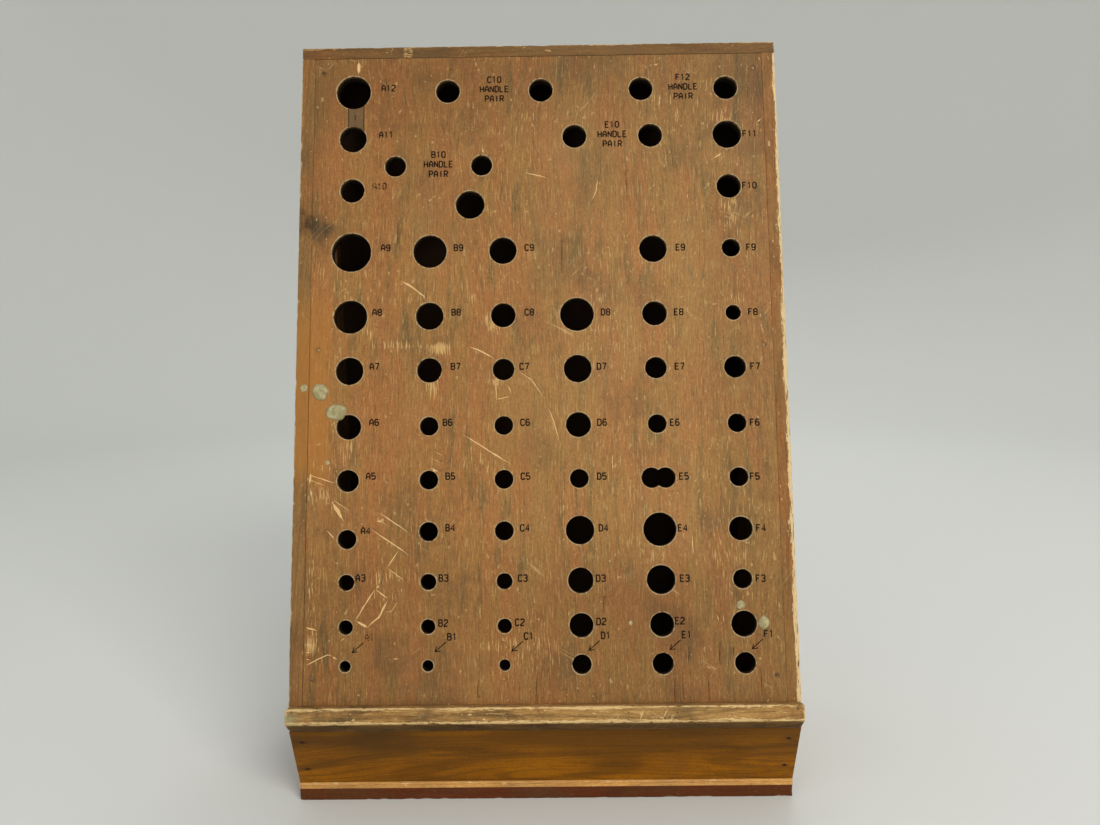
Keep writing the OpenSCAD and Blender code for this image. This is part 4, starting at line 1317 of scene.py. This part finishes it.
class TOOLSTAND_OT_patch(bpy.types.Operator):
    """Adds the let-in patch between the two top holes on the left, and its brad"""

    bl_idname = "toolstand.patch"
    bl_label = "Patch"

    def execute(self, context):
        material = board_finish("let_in_patch", (114, 86, 51), (118, 86, 51), (84, 65, 41), (140, 112, 72),
                                LEANING, (0.9, 0, 0.2), streaks=0.6, flecks=0.3, lines=0.2, dirt=0.5,
                                scuffs=0.3)
        low, high = (hole_at(name) for name in ("hole_a11", "hole_a12"))
        x0, x1 = (corner[0] for corner in box_mm("patch"))
        columns = 25
        across = np.linspace(x0 + 0.25, x1 - 0.25, columns)
        bottom = low[1] + np.sqrt(np.maximum((low[2] + 0.35) ** 2 - (across - low[0]) ** 2, 0))
        top = high[1] - np.sqrt(np.maximum((high[2] + 0.35) ** 2 - (across - high[0]) ** 2, 0))
        share = np.array([0, 0, 0.02, 0.2, 0.4, 0.6, 0.8, 0.98, 1, 1])
        drop = np.array([1, 0.3, 0, 0, 0, 0, 0, 0, 0.3, 1])
        side_drop = np.zeros(columns)
        side_drop[[0, -1]] = 0.25
        up = bottom[None] + share[:, None] * (top - bottom)[None]
        out = 0.22 - 0.5 * np.maximum(drop[:, None] * 0.6, side_drop[None])
        grid_x = np.broadcast_to(across, up.shape)
        upper = np.stack([grid_x, up, out], -1).reshape(-1, 3)
        lower = np.stack([grid_x, up, np.full(up.shape, -3.0)], -1).reshape(-1, 3)
        rows = len(share)
        index = np.arange(rows * columns).reshape(rows, columns)
        border = np.concatenate([index[0], index[1:, -1], index[-1, -2::-1], index[-2:0:-1, 0]])
        after = np.roll(border, -1)
        skirt = np.stack([border, after, after + rows * columns, border + rows * columns], -1).tolist()
        faces = grid_faces(rows, columns) + grid_faces(rows, columns, start=rows * columns) + skirt
        joint = np.tile(0.9 * (np.minimum(np.arange(columns), np.arange(columns)[::-1]) < 2), 2 * rows)
        part = on_face((np.concatenate([upper, lower]), faces,
                        {"edge": np.full(2 * rows * columns, 30.0), "shade": joint}))
        make_piece("let_in_patch", [part], material, ["patch"])
        brad = Finish("dark_iron_brad")
        rust = cloud(brad.tree, brad.place, 600.0, 3.0, 0.6)
        colour = blend(brad.tree, step_mask(brad.tree, rust, 0.45, 0.65), rgb(32, 24, 18), rgb(63, 43, 29))
        iron = brad.finish(colour, 0.45, 0.7, rust, rust, 0.3)
        x, up = nail_spots("patch_brad", world_to_face)[0]
        bar_part = bar([(x, up - 2.9), (x + 0.1, up), (x, up + 2.9)], 1.1, 0.34, -5.0)
        make_piece("brad_head", [on_face(bar_part)], iron, ["patch_brad"])
        return {"FINISHED"}


class TOOLSTAND_OT_nails(bpy.types.Operator):
    """Adds the nails of the rail, top, base and back, and darkens those of the face and apron"""

    bl_idname = "toolstand.nails"
    bl_label = "Nails"

    def execute(self, context):
        finish = Finish("oxidised_steel")
        tree = finish.tree
        rust = cloud(tree, finish.place, 700.0, 4.0, 0.65)
        colour = blend(tree, step_mask(tree, rust, 0.42, 0.62), rgb(39, 32, 27), rgb(73, 48, 32))
        finish.shader.inputs["Metallic"].default_value = 0.6
        material = finish.finish(colour, 0.45, 0.75, rust, rust, 0.4)
        stained = board_finish("stained_heads", (78, 52, 32), (74, 48, 28), (48, 33, 22), (96, 68, 42),
                               streaks=0.7, flecks=0.2, lines=0, dirt=0.7, scuffs=0.2)
        for node, cover in (("face_nails", stained), ("apron_nails", material)):
            for place in frame["nodes"][node].material_slots:
                place.material = cover
        planes = {
            "rail_nails": (lambda p: world_to_face(p) - [0, 0, RAIL_OUT],
                           lambda a, b, c: face_to_world(a, b, c + RAIL_OUT), 1.7, 1.0, 30),
            "top_nails": (lambda p: np.stack([p[:, 0], p[:, 1], p[:, 2] - TOP_HIGH[2]], -1),
                          lambda a, b, c: np.stack([a, b, c + TOP_HIGH[2]], -1), 1.7, 1.0, 28),
            "base_nails": (lambda p: np.stack([p[:, 0], -p[:, 1], BASE_LOW[2] - p[:, 2]], -1),
                           lambda a, b, c: np.stack([a, -b, BASE_LOW[2] - c], -1), 1.7, 1.0, 28),
            "back_pins": (lambda p: np.stack([-p[:, 0], p[:, 2], p[:, 1] - BACK_HIGH[1]], -1),
                          lambda a, b, c: np.stack([-a, BACK_HIGH[1] + c, b], -1), 2.0, 0.75, 18),
        }
        for node, (to_plane, to_world, head, shank, length) in planes.items():
            parts = []
            for spot in nail_spots(node, to_plane):
                lift = 0.0 if node == "base_nails" else 0.12
                points, faces, values = nail(spot[0], spot[1], head, shank, length, lift)
                parts.append((to_world(points[:, 0], points[:, 1], points[:, 2]), faces, values))
            cover = stained if node == "rail_nails" else material
            make_piece(node + "_set", parts, cover, [node])
        return {"FINISHED"}


class TOOLSTAND_OT_codes(bpy.types.Operator):
    """Stamps the hole codes, arrows and pair legends"""

    bl_idname = "toolstand.codes"
    bl_label = "Stamped Codes"

    def execute(self, context):
        finish = Finish("stamp_ink", LEANING)
        tree = finish.tree
        patchy = cloud(tree, finish.place, 480.0, 3.0, 0.7)
        colour = blend(tree, step_mask(tree, patchy, 0.4, 0.7), (*look(context).ink, 1), rgb(42, 30, 21))
        level = calc(tree, "SUBTRACT", patchy, calc(tree, "MULTIPLY", attribute(tree, "fade"), 0.42))
        tree.links.new(step_mask(tree, level, 0.04, 0.22), finish.shader.inputs["Alpha"])
        material = finish.finish(colour, 0.7, 0.9, patchy, patchy, 0.2, specular=0.06)
        parts = [on_face(part) for part in code_marks()]
        make_piece("stamped_codes", parts, material, smooth=False)
        return {"FINISHED"}


class TOOLSTAND_OT_drops(bpy.types.Operator):
    """Adds the dried drops on the face"""

    bl_idname = "toolstand.drops"
    bl_label = "Dried Drops"

    def execute(self, context):
        finish = Finish("dried_drops", LEANING)
        tree = finish.tree
        cloudy = cloud(tree, finish.place, 230.0, 4.0, 0.6)
        lip = step_mask(tree, attribute(tree, "share"), 0.75, 0.97)
        colour = blend(tree, step_mask(tree, cloudy, 0.38, 0.66), rgb(142, 131, 90), rgb(178, 165, 122))
        colour = blend(tree, calc(tree, "MULTIPLY", lip, 0.55), colour, rgb(118, 100, 61))
        material = finish.finish(colour, 0.35, 0.6, cloudy, cloudy, 0.35)
        parts = [on_face(dome(*drop, k)) for k, drop in enumerate(DROPS)]
        make_piece("dried_drops", parts, material)
        return {"FINISHED"}


def add_backdrop(colour):
    """The floor: flat rings that curve up round a quarter circle into a wall all round."""
    around = 96
    turn = np.linspace(0, 2 * math.pi, around, endpoint=False)
    rise = np.linspace(0, math.pi / 2, 14)
    radius = np.concatenate([[0.02, 0.6, 1.4], 2.6 + 1.8 * np.sin(rise), [4.4]])
    height = np.concatenate([[0, 0, 0], 1.8 * (1 - np.cos(rise)), [2.8]])
    points = np.stack([radius[:, None] * np.cos(turn), radius[:, None] * np.sin(turn),
                       np.broadcast_to(height[:, None], (len(radius), around))], -1).reshape(-1, 3)
    faces = [face[::-1] for face in grid_faces(len(radius), around, closed=True)]
    mesh = bpy.data.meshes.new("floor")
    mesh.from_pydata(points.tolist(), [], faces + [list(range(around))])
    mesh.polygons.foreach_set("use_smooth", [True] * len(mesh.polygons))
    paper = bpy.data.materials.new("pale_backdrop")
    paper.use_nodes = True
    shader = paper.node_tree.nodes["Principled BSDF"]
    shader.inputs["Base Color"].default_value = (*colour, 1)
    shader.inputs["Roughness"].default_value = 0.95
    shader.inputs["Specular IOR Level"].default_value = 0.1
    mesh.materials.append(paper)
    floor = bpy.data.objects.new("floor", mesh)
    bpy.context.scene.collection.objects.link(floor)


def add_lamp(name, place, size, power, glow):
    """A square light that faces the middle of the stand."""
    light = bpy.data.lights.new(name, "AREA")
    light.energy, light.size, light.color = power, size, glow
    lamp = bpy.data.objects.new(name, light)
    way = Vector(place) - Vector((0, 0, 0.4))
    lamp.matrix_world = Matrix.Translation(place) @ way.to_track_quat("Z", "Y").to_matrix().to_4x4()
    bpy.context.scene.collection.objects.link(lamp)


def camera_axes(yaw, pitch, roll):
    """The camera's own axes as columns: right, up and back, turned to the right by yaw, down by
    pitch and then round the line of sight by roll."""
    level = math.cos(pitch)
    ahead = np.array([math.sin(yaw) * level, math.cos(yaw) * level, -math.sin(pitch)])
    right = np.array([math.cos(yaw), -math.sin(yaw), 0])
    down = np.cross(ahead, right)
    across = math.cos(roll) * right + math.sin(roll) * down
    down = math.cos(roll) * down - math.sin(roll) * right
    return np.stack([across, -down, -ahead], -1)


class TOOLSTAND_OT_stage(bpy.types.Operator):
    """Adds the floor that curves up into a backdrop all round, the lights and the camera"""

    bl_idname = "toolstand.stage"
    bl_label = "Stage"

    def execute(self, context):
        stage, scene = context.scene.tool_stage, context.scene
        add_backdrop(stage.floor)
        add_lamp("key", (1.7, -2.7, 2.5), 1.8, stage.key, (1.0, 0.985, 0.95))
        add_lamp("fill", (-2.0, -2.2, 1.0), 2.0, stage.fill, (0.98, 0.99, 1.0))
        add_lamp("back", (0.6, 2.4, 2.6), 2.0, stage.key * 0.3, (1.0, 1.0, 1.0))
        world = bpy.data.worlds.new("sky")
        world.use_nodes = True
        world.node_tree.nodes["Background"].inputs["Color"].default_value = (0.97, 0.98, 1.0, 1)
        world.node_tree.nodes["Background"].inputs["Strength"].default_value = stage.sky
        scene.world = world
        scene.view_settings.view_transform = "Standard"
        camera = bpy.data.cameras.new("camera")
        camera.sensor_width, camera.lens = 36, stage.lens
        camera.clip_start, camera.clip_end = 0.01, 50
        eye = bpy.data.objects.new("camera", camera)
        axes = Matrix(camera_axes(*stage.turn).tolist())
        eye.matrix_world = Matrix.Translation(stage.away) @ axes.to_4x4()
        scene.collection.objects.link(eye)
        scene.camera = eye
        return {"FINISHED"}


OPERATORS = (TOOLSTAND_OT_stage, TOOLSTAND_OT_face, TOOLSTAND_OT_sides, TOOLSTAND_OT_top, TOOLSTAND_OT_rail,
             TOOLSTAND_OT_apron, TOOLSTAND_OT_base, TOOLSTAND_OT_back, TOOLSTAND_OT_patch, TOOLSTAND_OT_nails,
             TOOLSTAND_OT_codes, TOOLSTAND_OT_drops)


class TOOLSTAND_PT_panel(bpy.types.Panel):
    """Lists the stand's settings and its pieces"""

    bl_idname = "TOOLSTAND_PT_panel"
    bl_label = "Tool Stand"
    bl_space_type = "VIEW_3D"
    bl_region_type = "UI"
    bl_category = "Tool Stand"

    def draw(self, context):
        for group in (context.scene.tool_stand, context.scene.tool_stage):
            for key in group.bl_rna.properties.keys():
                if key not in ("rna_type", "name"):
                    self.layout.prop(group, key)
        for operator in OPERATORS:
            self.layout.operator(operator.bl_idname)


CLASSES = (StandSettings, StageSettings, *OPERATORS, TOOLSTAND_PT_panel)


def register():
    for cls in CLASSES:
        bpy.utils.register_class(cls)
    bpy.types.Scene.tool_stand = PointerProperty(type=StandSettings)
    bpy.types.Scene.tool_stage = PointerProperty(type=StageSettings)


def unregister():
    del bpy.types.Scene.tool_stage
    del bpy.types.Scene.tool_stand
    for cls in reversed(CLASSES):
        bpy.utils.unregister_class(cls)


def main():
    """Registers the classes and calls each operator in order."""
    register()
    make_groups()
    for operator in OPERATORS:
        group, name = operator.bl_idname.split(".")
        getattr(getattr(bpy.ops, group), name)()


if __name__ == "__main__":
    main()
